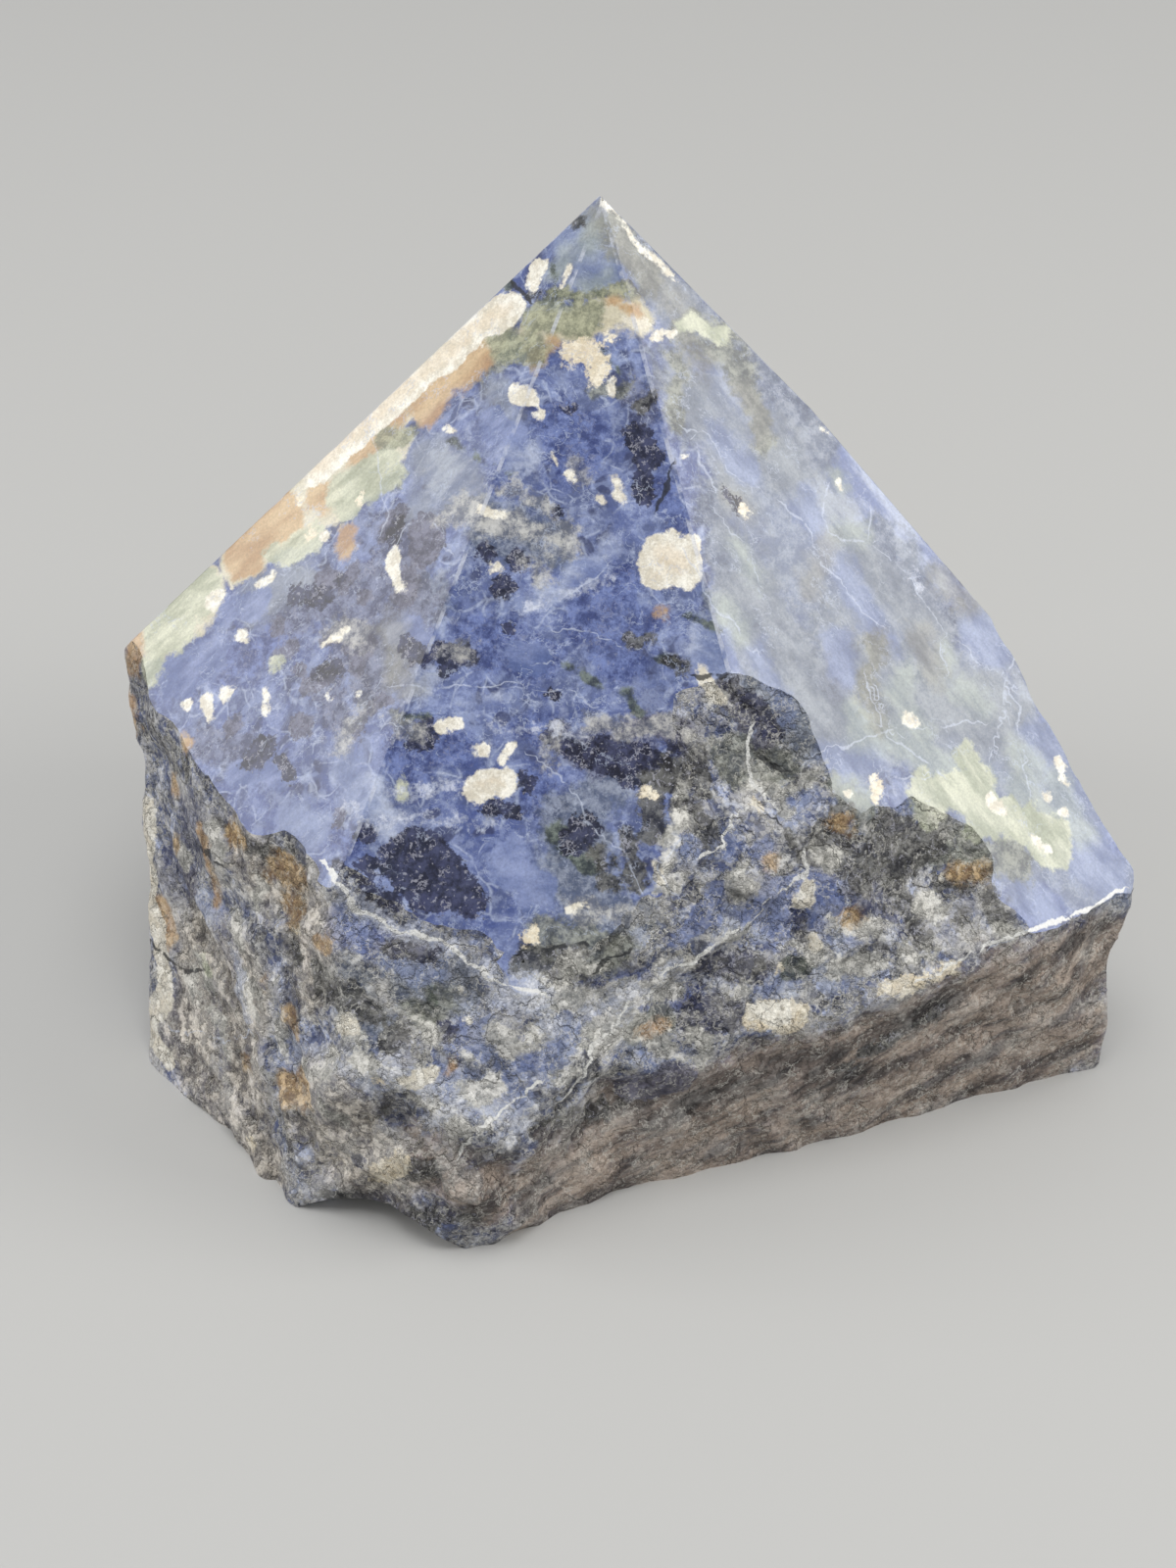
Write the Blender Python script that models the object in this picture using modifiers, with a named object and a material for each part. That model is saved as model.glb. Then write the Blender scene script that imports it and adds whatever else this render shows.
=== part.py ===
"""Sodalite point: a lump of natural sodalite, sawn flat underneath and ground to a tip on top.

The stone is one piece, made the way the real one is: a block broken along natural faces gets
its rough skin, its underside is sawn flat, and flat facets are ground from the sides up to
the tip. Run it in Blender 4.5. Sizes below are millimetres, and the mesh is in metres.
The origin is on the sawn base, and the stone's broad front faces -Y.
"""

import math

import bmesh
import bpy
from mathutils import Vector, noise

NAME = "sodalite_point"
MM = 0.001

# The tip, and corners where the ground facets meet the natural skin.
TIP = (-3.5, 7.0, 74.9)
LEFT_CORNER = (-25.1, -27.0, 30.8)
RIGHT_SHOULDER = (15.2, 2.6, 56.5)
RIGHT_CORNER = (43.9, -14.0, 18.9)

# Ground facets: the way each faces, in degrees round from +X, its slope from level, a point on it.
FACETS = {
    "front": (-90.0, 52.0, TIP),
    "front_left": (-132.3, 47.8, LEFT_CORNER),
    "front_right": (-51.3, 50.6, TIP),
    "back_right": (37.0, 56.1, TIP),
    "back_right_low": (35.0, 60.1, RIGHT_SHOULDER),
    "back": (92.0, 57.0, (-3.5, 8.2, 74.3)),
    "back_left": (148.0, 51.5, TIP),
}

# Natural faces: the way each faces, how far it leans back from upright, a point on it.
NATURAL_FACES = {
    "left": (217.0, 14.0, (-25.8, -27.4, 30.8)),
    "front_left": (251.6, 5.0, (-20.0, -37.9, 0.0)),
    "front_slope_left": (-96.1, 28.3, (-8.8, -33.5, 23.1)),
    "front_slope": (-78.2, 28.7, (-3.5, -31.0, 26.0)),
    "front_right_slope": (-71.0, 24.1, (16.2, -20.5, 33.8)),
    "front_right": (-69.0, -8.0, (17.2, -25.7, 0.0)),
    "front_right_end": (-53.6, 3.0, (36.2, -19.8, 19.3)),
    "right": (25.0, 18.4, RIGHT_CORNER),
    "right_low": (3.0, -4.0, (42.0, -13.0, 2.0)),
    "back_right": (52.0, 4.0, (26.0, 33.0, 0.0)),
    "back": (96.0, 6.0, (0.0, 39.0, 0.0)),
    "back_left": (138.0, 5.0, (-30.0, 28.0, 0.0)),
    "far_left": (177.0, -1.0, (-44.6, -6.0, 20.0)),
}

# Swellings and hollows of the skin: centre, reach, height out of the skin.
SWELLINGS = {
    "left_brow": ((-37.0, -14.5, 33.0), 13.0, 1.9),
    "far_left_brow": ((-43.5, -3.5, 35.0), 9.0, 1.3),
    "right_corner_dip": ((43.5, -14.5, 13.0), 9.0, -0.8),
    "right_corner_lip": ((44.0, -13.0, 17.5), 6.0, 0.9),
    "scallop_by_front_edge": ((9.0, -20.5, 39.5), 9.0, -1.9),
    "hollow_by_right_facet": ((25.5, -20.5, 27.0), 9.0, -1.7),
    "front_foot": ((-13.0, -38.5, 1.0), 7.0, 1.5),
    "front_dish": ((-3.0, -34.0, 17.0), 10.0, -0.9),
    "back_dish": ((12.0, 38.0, 16.0), 15.0, -2.2),
    "back_left_dish": ((-36.0, 20.0, 12.0), 12.0, -1.8),
    "right_dish": ((43.5, 2.0, 12.0), 12.0, -1.5),
}

# Steps in the skin, as where one layer broke off: a point on the step's edge, the way up to the
# layer that is left, reach, rise.
STEPS = {
    "front_upper": ((7.0, -28.0, 24.0), (-0.676, 0.230, 0.667), 15.0, 1.1),
    "front_lower": ((-6.0, -34.5, 11.0), (-0.70, 0.20, 0.66), 10.0, 0.8),
    "left": ((-38.0, -19.0, 16.0), (0.45, -0.25, 0.85), 14.0, 1.0),
}

# Chips out of the sawn edge: the centre and radius of the ball that each is the print of.
CHIPS = {
    "front_left_arch": ((-24.5, -43.5, -9.0), 13.5),
    "front_notch": ((-8.0, -42.0, -2.5), 5.7),
    "left_nick": ((-43.0, -26.0, -4.0), 7.0),
    "back_chip": ((20.0, 43.0, -7.0), 11.0),
    "back_left_chip": ((-38.5, 25.5, -6.0), 8.5),
}

# Roughness of the skin: how broad its waves are, and how high. It is lower close under the
# ground facets, down to this share of it at the depth 0.
ROUGHNESS = {"lumps": (19.0, 1.5), "ledges": (8.5, 0.8), "grit": (3.6, 0.45)}
CALM_DEPTH = 5.0
CALM_SHARE = 0.3

# Where the skin is smoother than elsewhere: centre, reach, the share of the roughness left there.
CALM_PLACES = {
    "far_left": ((-45.0, -8.0, 16.0), 30.0, 0.35),
    "lower_front": ((22.0, -27.0, 3.0), 34.0, 0.4),
    "right": ((43.0, -8.0, 10.0), 16.0, 0.5),
}
CALM_FADE = 2.0

# How each kind of wave is made up: how fast its finer parts weaken, and how many there are.
LUMPS_FALLOFF = 1.0
LUMPS_OCTAVES = 2
GRIT_FALLOFF = 0.9
GRIT_OCTAVES = 3
OCTAVE_RATIO = 2.0

# Ledges: the way up through their layers, how much the layers wander and how often, and the
# shares of each layer that are its flat tread, its rise and its drop to the next.
LEDGE_WAY_UP = (0.35, 0.25, 1.0)
LEDGE_WANDER = 1.3
LEDGE_WANDER_RATE = 0.6
LEDGE_TREAD = 0.3
LEDGE_RISE = 0.4
LEDGE_DROP = 0.12

# Steps: the width of the rise, how far it wanders and how often, and how it fades at the reach.
STEP_WIDTH = 1.8
STEP_WANDER = 0.8
STEP_WANDER_RATE = 0.35
STEP_FADE = 1.6

# Swellings have uneven outlines: these are moved this far, in waves this broad.
WARP = 3.0
WARP_BREADTH = 5.0

# The vector noise starts from the clock unless it is given a number, and then no two stones
# are the same.
NOISE_SEED = 7

BLOCK_SIZE = 200.0
BASE_MARGIN = 8.0
GRINDING_DEPTH = 4.0
SKIN_GRID = 2.0
CUT_TOLERANCE = 1e-4
SMALLEST_EDGE = 0.02

SODALITE_BLUE = (0.17, 0.22, 0.42, 1.0)
SODALITE_ROUGHNESS = 0.4


def facing(azimuth, lean):
    """The unit vector that points azimuth degrees round from +X and lean degrees above level."""
    around = math.radians(azimuth)
    above = math.radians(lean)
    level = math.cos(above)
    return Vector((level * math.cos(around), level * math.sin(around), math.sin(above)))


def slice_off(mesh, point, normal):
    """Cuts away what lies beyond a plane, and closes the cut with a flat face."""
    everything = mesh.verts[:] + mesh.edges[:] + mesh.faces[:]
    bmesh.ops.bisect_plane(
        mesh,
        geom=everything,
        dist=CUT_TOLERANCE,
        plane_co=Vector(point),
        plane_no=normal,
        clear_outer=True,
    )
    rim = [edge for edge in mesh.edges if edge.is_boundary]
    if rim:
        bmesh.ops.edgeloop_fill(mesh, edges=rim)


def facet_planes():
    """Each ground facet as a point on it and its normal."""
    return [(Vector(point), facing(azimuth, 90.0 - slope)) for azimuth, slope, point in FACETS.values()]


def broken_block():
    """The block with its natural faces still flat, a little larger where it is sawn and ground."""
    mesh = bmesh.new()
    bmesh.ops.create_cube(mesh, size=BLOCK_SIZE)
    slice_off(mesh, (0.0, 0.0, -BASE_MARGIN), Vector((0.0, 0.0, -1.0)))
    for azimuth, lean, point in NATURAL_FACES.values():
        slice_off(mesh, point, facing(azimuth, lean))
    for point, normal in facet_planes():
        slice_off(mesh, point + normal * GRINDING_DEPTH, normal)
    return mesh


def with_fine_skin(block):
    """The block as an even mesh, from a Remesh modifier, so that its skin can be shaped."""
    data = bpy.data.meshes.new("block")
    block.to_mesh(data)
    block.free()
    holder = bpy.data.objects.new("block", data)
    bpy.context.scene.collection.objects.link(holder)
    remesh = holder.modifiers.new("Even skin", "REMESH")
    remesh.mode = "VOXEL"
    remesh.voxel_size = SKIN_GRID
    graph = bpy.context.evaluated_depsgraph_get()
    even = bpy.data.meshes.new_from_object(holder.evaluated_get(graph))
    bpy.data.objects.remove(holder)
    mesh = bmesh.new()
    mesh.from_mesh(even)
    bpy.data.meshes.remove(even)
    return mesh


def ledge(point):
    """Flat steps with sharp fronts, from 0 to 1, as stone breaks along its layers."""
    wander = LEDGE_WANDER * noise.noise(point * LEDGE_WANDER_RATE)
    height = point.dot(Vector(LEDGE_WAY_UP)) + wander
    step = height - math.floor(height)
    rise = max(0.0, (step - LEDGE_TREAD) / LEDGE_RISE)
    return min(1.0, rise, (1.0 - step) / LEDGE_DROP)


def smooth(value):
    """Rises from 0 to 1 as the value does, levelling out at both."""
    value = min(1.0, max(0.0, value))
    return value * value * (3.0 - 2.0 * value)


def roughness_share(point):
    """How much of the roughness a point has: less close under the ground facets."""
    depth = min((on_plane - point).dot(normal) for on_plane, normal in facet_planes())
    share = CALM_SHARE + (1.0 - CALM_SHARE) * smooth(depth / CALM_DEPTH)
    for centre, reach, left in CALM_PLACES.values():
        gap = (point - Vector(centre)).length
        share *= 1.0 - (1.0 - left) * smooth(CALM_FADE - CALM_FADE * gap / reach)
    return share


def skin_height(point):
    """How far the natural skin stands out of the flat face at a point, in millimetres."""
    breadth, rise = ROUGHNESS["lumps"]
    height = rise * noise.fractal(point / breadth, LUMPS_FALLOFF, OCTAVE_RATIO, LUMPS_OCTAVES)
    breadth, rise = ROUGHNESS["ledges"]
    height += rise * (ledge(point / breadth) - 0.5)
    breadth, rise = ROUGHNESS["grit"]
    height += rise * noise.fractal(point / breadth, GRIT_FALLOFF, OCTAVE_RATIO, GRIT_OCTAVES)
    height *= roughness_share(point)
    warped = point + WARP * noise.noise_vector(point / WARP_BREADTH)
    for centre, reach, rise in SWELLINGS.values():
        height += rise * smooth(1.0 - (warped - Vector(centre)).length_squared / reach**2)
    wander = STEP_WANDER * noise.noise(point * STEP_WANDER_RATE)
    for edge, way_up, reach, rise in STEPS.values():
        away = point - Vector(edge)
        on_layer = smooth(away.dot(Vector(way_up)) / STEP_WIDTH + 0.5 + wander) - 0.5
        height += rise * on_layer * smooth(STEP_FADE - STEP_FADE * away.length / reach)
    return height


def pushed_out_of_chips(point):
    """A point moved to the skin of any chip that it lies in."""
    for centre, radius in CHIPS.values():
        out = point - Vector(centre)
        if out.length < radius:
            point = Vector(centre) + out.normalized() * radius
    return point


def roughen(mesh):
    """Gives the natural faces their lumps, ledges and chips."""
    mesh.normal_update()
    moved = [vert.co + vert.normal * skin_height(vert.co) for vert in mesh.verts]
    for vert, place in zip(mesh.verts, moved):
        vert.co = pushed_out_of_chips(place)


def grind(mesh):
    """Saws the base flat and grinds the facets up to the tip."""
    slice_off(mesh, (0.0, 0.0, 0.0), Vector((0.0, 0.0, -1.0)))
    for point, normal in facet_planes():
        slice_off(mesh, point, normal)
    bmesh.ops.dissolve_degenerate(mesh, dist=SMALLEST_EDGE, edges=mesh.edges[:])
    bmesh.ops.triangulate(mesh, faces=mesh.faces[:])
    bmesh.ops.recalc_face_normals(mesh, faces=mesh.faces[:])


def sodalite():
    """The stone's plain colour; its pattern is not part of the solid."""
    material = bpy.data.materials.new("sodalite")
    material.use_nodes = True
    shader = material.node_tree.nodes["Principled BSDF"]
    shader.inputs["Base Color"].default_value = SODALITE_BLUE
    shader.inputs["Roughness"].default_value = SODALITE_ROUGHNESS
    shader.inputs["Metallic"].default_value = 0.0
    return material


def make_stone():
    """Builds the stone and places it in a collection of its own."""
    mesh = with_fine_skin(broken_block())
    roughen(mesh)
    grind(mesh)
    bmesh.ops.scale(mesh, vec=(MM, MM, MM), verts=mesh.verts[:])
    data = bpy.data.meshes.new(NAME)
    mesh.to_mesh(data)
    mesh.free()
    data.materials.append(sodalite())
    stone = bpy.data.objects.new(NAME, data)
    collection = bpy.data.collections.new("Sodalite point")
    bpy.context.scene.collection.children.link(collection)
    collection.objects.link(stone)
    return stone


def main():
    for old in list(bpy.data.objects):
        bpy.data.objects.remove(old)
    noise.seed_set(NOISE_SEED)
    make_stone()


main()
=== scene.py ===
"""Looks of the sodalite point: its finely broken skin, polished facets, minerals and veins.

The stone is cut here as it is in its solid, from the same block by the same planes, only on a
much finer grid, and stands in for it. Sizes are in millimetres until the mesh is made.
Markings are strokes in pixels of the 1200 x 1600 photograph, cast from the camera onto the stone.
"""

import math
import random

import bmesh
import bpy
import numpy as np
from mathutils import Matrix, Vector, geometry, kdtree, noise
from mathutils.bvhtree import BVHTree


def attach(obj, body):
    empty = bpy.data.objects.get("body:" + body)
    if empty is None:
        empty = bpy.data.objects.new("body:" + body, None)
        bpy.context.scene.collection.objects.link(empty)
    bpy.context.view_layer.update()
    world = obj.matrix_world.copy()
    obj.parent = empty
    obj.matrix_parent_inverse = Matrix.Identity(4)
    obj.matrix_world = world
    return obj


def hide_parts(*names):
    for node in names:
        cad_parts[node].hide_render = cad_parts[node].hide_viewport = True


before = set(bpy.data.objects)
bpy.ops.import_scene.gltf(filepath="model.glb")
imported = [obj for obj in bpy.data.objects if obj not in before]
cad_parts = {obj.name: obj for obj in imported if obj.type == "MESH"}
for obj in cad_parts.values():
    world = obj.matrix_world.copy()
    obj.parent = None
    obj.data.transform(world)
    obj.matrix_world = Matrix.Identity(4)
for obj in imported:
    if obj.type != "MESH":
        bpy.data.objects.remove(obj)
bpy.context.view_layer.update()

NODE = "sodalite_point"
MM = 0.001

# The camera stands in front of the stone and looks down at it. Pixels are the photograph's.
CAMERA_PLACE = (-4.5, -214.0, 170.0)
CAMERA_PITCH = 35.0
FOCAL_PIXELS = 2900.0
PHOTO_WIDTH = 1200.0
PHOTO_HEIGHT = 1600.0
SENSOR_WIDTH = 36.0

# The solid's own shape, as in its source: corners, ground facets and natural faces.
TIP = (-3.5, 7.0, 74.9)
LEFT_CORNER = (-25.1, -27.0, 30.8)
RIGHT_SHOULDER = (15.2, 2.6, 56.5)
RIGHT_CORNER = (43.9, -14.0, 18.9)

# The way each facet faces, in degrees round from +X, its slope from level, a point on it.
FACETS = {
    "front": (-90.0, 52.0, TIP),
    "front_left": (-132.3, 47.8, LEFT_CORNER),
    "front_right": (-51.3, 50.6, TIP),
    "back_right": (37.0, 56.1, TIP),
    "back_right_low": (35.0, 60.1, RIGHT_SHOULDER),
    "back": (92.0, 57.0, (-3.5, 8.2, 74.3)),
    "back_left": (148.0, 51.5, TIP),
}

# The way each natural face faces, how far it leans back from upright, a point on it.
NATURAL_FACES = {
    "left": (217.0, 14.0, (-25.8, -27.4, 30.8)),
    "front_left": (251.6, 5.0, (-20.0, -37.9, 0.0)),
    "front_slope_left": (-96.1, 28.3, (-8.8, -33.5, 23.1)),
    "front_slope": (-78.2, 28.7, (-3.5, -31.0, 26.0)),
    "front_right_slope": (-71.0, 24.1, (16.2, -20.5, 33.8)),
    "front_right": (-69.0, -8.0, (17.2, -25.7, 0.0)),
    "front_right_end": (-53.6, 3.0, (36.2, -19.8, 19.3)),
    "right": (25.0, 18.4, RIGHT_CORNER),
    "right_low": (3.0, -4.0, (42.0, -13.0, 2.0)),
    "back_right": (52.0, 4.0, (26.0, 33.0, 0.0)),
    "back": (96.0, 6.0, (0.0, 39.0, 0.0)),
    "back_left": (138.0, 5.0, (-30.0, 28.0, 0.0)),
    "far_left": (177.0, -1.0, (-44.6, -6.0, 20.0)),
}

# Swellings and hollows of the skin: centre, reach, height out of the skin.
SWELLINGS = {
    "left_brow": ((-37.0, -14.5, 33.0), 13.0, 1.9),
    "far_left_brow": ((-43.5, -3.5, 35.0), 9.0, 1.3),
    "right_corner_dip": ((43.5, -14.5, 13.0), 9.0, -0.8),
    "right_corner_lip": ((44.0, -13.0, 17.5), 6.0, 0.9),
    "scallop_by_front_edge": ((9.0, -20.5, 39.5), 9.0, -1.9),
    "hollow_by_right_facet": ((25.5, -20.5, 27.0), 9.0, -1.7),
    "front_foot": ((-13.0, -38.5, 1.0), 7.0, 1.5),
    "front_dish": ((-3.0, -34.0, 17.0), 10.0, -0.9),
    "back_dish": ((12.0, 38.0, 16.0), 15.0, -2.2),
    "back_left_dish": ((-36.0, 20.0, 12.0), 12.0, -1.8),
    "right_dish": ((43.5, 2.0, 12.0), 12.0, -1.5),
}

# Steps in the skin: a point on the edge, the way up to the layer that is left, reach, rise.
STEPS = {
    "front_upper": ((7.0, -28.0, 24.0), (-0.676, 0.230, 0.667), 15.0, 1.1),
    "front_lower": ((-6.0, -34.5, 11.0), (-0.70, 0.20, 0.66), 10.0, 0.8),
    "left": ((-38.0, -19.0, 16.0), (0.45, -0.25, 0.85), 14.0, 1.0),
}

# Chips out of the sawn edge: the centre and radius of the ball that each is the print of.
CHIPS = {
    "front_left_arch": ((-24.5, -43.5, -9.0), 13.5),
    "front_notch": ((-8.0, -42.0, -2.5), 5.7),
    "left_nick": ((-43.0, -26.0, -4.0), 7.0),
    "back_chip": ((20.0, 43.0, -7.0), 11.0),
    "back_left_chip": ((-38.5, 25.5, -6.0), 8.5),
}

# Roughness of the skin: how broad its waves are, and how high. It is lower close under the
# ground facets, down to this share of it at the depth 0.
ROUGHNESS = {"lumps": (19.0, 1.5), "ledges": (8.5, 0.8), "grit": (3.6, 0.45)}
CALM_DEPTH = 5.0
CALM_SHARE = 0.3

# Where the skin is smoother than elsewhere: centre, reach, the share of the roughness left there.
CALM_PLACES = {
    "far_left": ((-45.0, -8.0, 16.0), 30.0, 0.35),
    "lower_front": ((22.0, -27.0, 3.0), 34.0, 0.4),
    "right": ((43.0, -8.0, 10.0), 16.0, 0.5),
}
CALM_FADE = 2.0

# How each kind of wave is made up: how fast its finer parts weaken, and how many there are.
LUMPS_FALLOFF = 1.0
LUMPS_OCTAVES = 2
GRIT_FALLOFF = 0.9
GRIT_OCTAVES = 3
OCTAVE_RATIO = 2.0

# Ledges: the way up through their layers, how much the layers wander and how often, and the
# shares of each layer that are its flat tread, its rise and its drop to the next.
LEDGE_WAY_UP = (0.35, 0.25, 1.0)
LEDGE_WANDER = 1.3
LEDGE_WANDER_RATE = 0.6
LEDGE_TREAD = 0.3
LEDGE_RISE = 0.4
LEDGE_DROP = 0.12

# Steps: the width of the rise, how far it wanders and how often, and how it fades at the reach.
STEP_WIDTH = 1.8
STEP_WANDER = 0.8
STEP_WANDER_RATE = 0.35
STEP_FADE = 1.6

# Swellings have uneven outlines: these are moved this far, in waves this broad.
WARP = 3.0
WARP_BREADTH = 5.0

# The number that the solid's noise starts from, so that this is the same stone each time.
NOISE_SEED = 7

BLOCK_SIZE = 200.0
BASE_MARGIN = 8.0
GRINDING_DEPTH = 4.0
CUT_TOLERANCE = 1e-4

# What only this finer stone has. Crystal faces and sugary grain are given as size and rise. The
# crystals stand out more in the broken zone, and less by the base, up to the calm height.
CRYSTAL_FACES = ((5.2, 0.95), (2.1, 0.55))
CRYSTAL_SHUFFLE = 5.7
SUGAR = (0.8, 0.10)
SUGAR_FALLOFF = 1.0
SUGAR_OCTAVES = 2
BROKEN_ZONE = (12.0, -26.0, 27.0)
BROKEN_REACH = 26.0
BROKEN_GAIN = 0.9
CALM_HEIGHT = 9.0
BASE_SHARE = 0.45
VEIN_RISE = 0.28
VEIN_EDGE = 0.3
VEIN_START = 0.6

# The spacing of points on the skin, on each ground facet and on the base, and how much nearer to
# the rim than that a point may lie.
SKIN_GRID = 0.56
FACET_GRID = {"front": 0.44, "front_left": 0.46, "front_right": 0.46}
OTHER_FACET_GRID = 0.62
BASE_GRID = 1.6
RIM_GAP = 0.55
FILL_TOLERANCE = 1e-5

# Ground edges are worn dull by this much. Flat faces are told by their many corners, the base and
# the facets by the way they face.
WORN_EDGE = 0.05
NEARLY_PARALLEL = 0.2
FLAT_FACE_CORNERS = 12
FACES_DOWN = -0.9
SAME_WAY = 0.9999
ON_FACET = 0.9995


def facing(azimuth, lean):
    """The unit vector that points azimuth degrees round from +X and lean degrees above level."""
    around = math.radians(azimuth)
    above = math.radians(lean)
    level = math.cos(above)
    return Vector((level * math.cos(around), level * math.sin(around), math.sin(above)))


FACET_PLANES = {
    name: (Vector(point), facing(azimuth, 90.0 - slope))
    for name, (azimuth, slope, point) in FACETS.items()
}


def slice_off(mesh, point, normal):
    """Cuts away what lies beyond a plane, and closes the cut with a flat face."""
    everything = mesh.verts[:] + mesh.edges[:] + mesh.faces[:]
    bmesh.ops.bisect_plane(
        mesh,
        geom=everything,
        dist=CUT_TOLERANCE,
        plane_co=Vector(point),
        plane_no=normal,
        clear_outer=True,
    )
    rim = [edge for edge in mesh.edges if edge.is_boundary]
    if rim:
        bmesh.ops.edgeloop_fill(mesh, edges=rim)


def broken_block():
    """The block with its natural faces still flat, a little larger where it is sawn and ground."""
    mesh = bmesh.new()
    bmesh.ops.create_cube(mesh, size=BLOCK_SIZE)
    slice_off(mesh, (0.0, 0.0, -BASE_MARGIN), Vector((0.0, 0.0, -1.0)))
    for azimuth, lean, point in NATURAL_FACES.values():
        slice_off(mesh, point, facing(azimuth, lean))
    for point, normal in FACET_PLANES.values():
        slice_off(mesh, point + normal * GRINDING_DEPTH, normal)
    return mesh


def with_fine_skin(block):
    """The block as an even mesh, from a Remesh modifier, so that its skin can be shaped."""
    data = bpy.data.meshes.new("block")
    block.to_mesh(data)
    block.free()
    holder = bpy.data.objects.new("block", data)
    bpy.context.scene.collection.objects.link(holder)
    remesh = holder.modifiers.new("Even skin", "REMESH")
    remesh.mode = "VOXEL"
    remesh.voxel_size = SKIN_GRID
    graph = bpy.context.evaluated_depsgraph_get()
    even = bpy.data.meshes.new_from_object(holder.evaluated_get(graph))
    bpy.data.objects.remove(holder)
    mesh = bmesh.new()
    mesh.from_mesh(even)
    bpy.data.meshes.remove(even)
    return mesh


def ledge(point):
    """Flat steps with sharp fronts, from 0 to 1, as stone breaks along its layers."""
    wander = LEDGE_WANDER * noise.noise(point * LEDGE_WANDER_RATE)
    height = point.dot(Vector(LEDGE_WAY_UP)) + wander
    step = height - math.floor(height)
    rise = max(0.0, (step - LEDGE_TREAD) / LEDGE_RISE)
    return min(1.0, rise, (1.0 - step) / LEDGE_DROP)


def smooth(value):
    """Rises from 0 to 1 as the value does, levelling out at both."""
    value = min(1.0, max(0.0, value))
    return value * value * (3.0 - 2.0 * value)


def roughness_share(point):
    """How much of the roughness a point has: less close under the ground facets."""
    depth = min((on_plane - point).dot(normal) for on_plane, normal in FACET_PLANES.values())
    share = CALM_SHARE + (1.0 - CALM_SHARE) * smooth(depth / CALM_DEPTH)
    for centre, reach, left in CALM_PLACES.values():
        gap = (point - Vector(centre)).length
        share *= 1.0 - (1.0 - left) * smooth(CALM_FADE - CALM_FADE * gap / reach)
    return share


def skin_height(point, share):
    """How far the natural skin stands out of the flat face at a point, as in the solid."""
    breadth, rise = ROUGHNESS["lumps"]
    height = rise * noise.fractal(point / breadth, LUMPS_FALLOFF, OCTAVE_RATIO, LUMPS_OCTAVES)
    breadth, rise = ROUGHNESS["ledges"]
    height += rise * (ledge(point / breadth) - 0.5)
    breadth, rise = ROUGHNESS["grit"]
    height += rise * noise.fractal(point / breadth, GRIT_FALLOFF, OCTAVE_RATIO, GRIT_OCTAVES)
    height *= share
    warped = point + WARP * noise.noise_vector(point / WARP_BREADTH)
    for centre, reach, rise in SWELLINGS.values():
        height += rise * smooth(1.0 - (warped - Vector(centre)).length_squared / reach**2)
    wander = STEP_WANDER * noise.noise(point * STEP_WANDER_RATE)
    for edge, way_up, reach, rise in STEPS.values():
        away = point - Vector(edge)
        on_layer = smooth(away.dot(Vector(way_up)) / STEP_WIDTH + 0.5 + wander) - 0.5
        height += rise * on_layer * smooth(STEP_FADE - STEP_FADE * away.length / reach)
    return height


def crystal_share(point):
    """The crystal faces stand out most on the broken front slope, and least by the sawn base."""
    broken = smooth(1.0 - (point - Vector(BROKEN_ZONE)).length / BROKEN_REACH)
    off_base = BASE_SHARE + (1.0 - BASE_SHARE) * smooth(point.z / CALM_HEIGHT)
    return off_base * (1.0 + BROKEN_GAIN * broken)


def crystal_height(point):
    """Flat faces of broken crystals: each cell of the stone has a tilt of its own."""
    height = 0.0
    for size, rise in CRYSTAL_FACES:
        place = point / size
        centre = noise.voronoi(place)[1][0]
        height += rise * (place - centre).dot(noise.noise_vector(centre * CRYSTAL_SHUFFLE))
    breadth, rise = SUGAR
    grain = noise.fractal(point / breadth, SUGAR_FALLOFF, OCTAVE_RATIO, SUGAR_OCTAVES)
    return height + rise * grain


def pushed_out_of_chips(point):
    """A point moved to the skin of any chip that it lies in."""
    for centre, radius in CHIPS.values():
        out = point - Vector(centre)
        if out.length < radius:
            point = Vector(centre) + out.normalized() * radius
    return point


def roughen(mesh, veins):
    """Gives the natural faces their relief, and keeps each point's fine height in a layer."""
    mesh.normal_update()
    relief = mesh.verts.layers.float.new("relief")
    places = np.array([vert.co for vert in mesh.verts])
    on_vein = np.clip(veins.depth_inside(wandered(places)) / VEIN_EDGE + VEIN_START, 0.0, 1.0)
    moved = []
    for vert, raised in zip(mesh.verts, on_vein):
        share = roughness_share(vert.co)
        crystals = crystal_height(vert.co)
        fine = crystals * crystal_share(vert.co) * share + VEIN_RISE * float(raised)
        vert[relief] = crystals
        moved.append(vert.co + vert.normal * (skin_height(vert.co, share) + fine))
    for vert, place in zip(mesh.verts, moved):
        vert.co = pushed_out_of_chips(place)


def worn_edge_planes():
    """A narrow flat along each edge where two ground facets meet."""
    planes = []
    named = list(FACET_PLANES.values())
    for index, (first_point, first) in enumerate(named):
        for second_point, second in named[index + 1 :]:
            along = first.cross(second)
            if along.length < NEARLY_PARALLEL:
                continue
            on_edge = (
                second.cross(along) * first_point.dot(first)
                + along.cross(first) * second_point.dot(second)
            ) / along.length_squared
            normal = (first + second).normalized()
            planes.append((on_edge - normal * WORN_EDGE, normal))
    return planes


def grind(mesh):
    """Saws the base flat and grinds the facets up to the tip."""
    slice_off(mesh, (0.0, 0.0, 0.0), Vector((0.0, 0.0, -1.0)))
    for point, normal in FACET_PLANES.values():
        slice_off(mesh, point, normal)
    for point, normal in worn_edge_planes():
        slice_off(mesh, point, normal)


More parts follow.
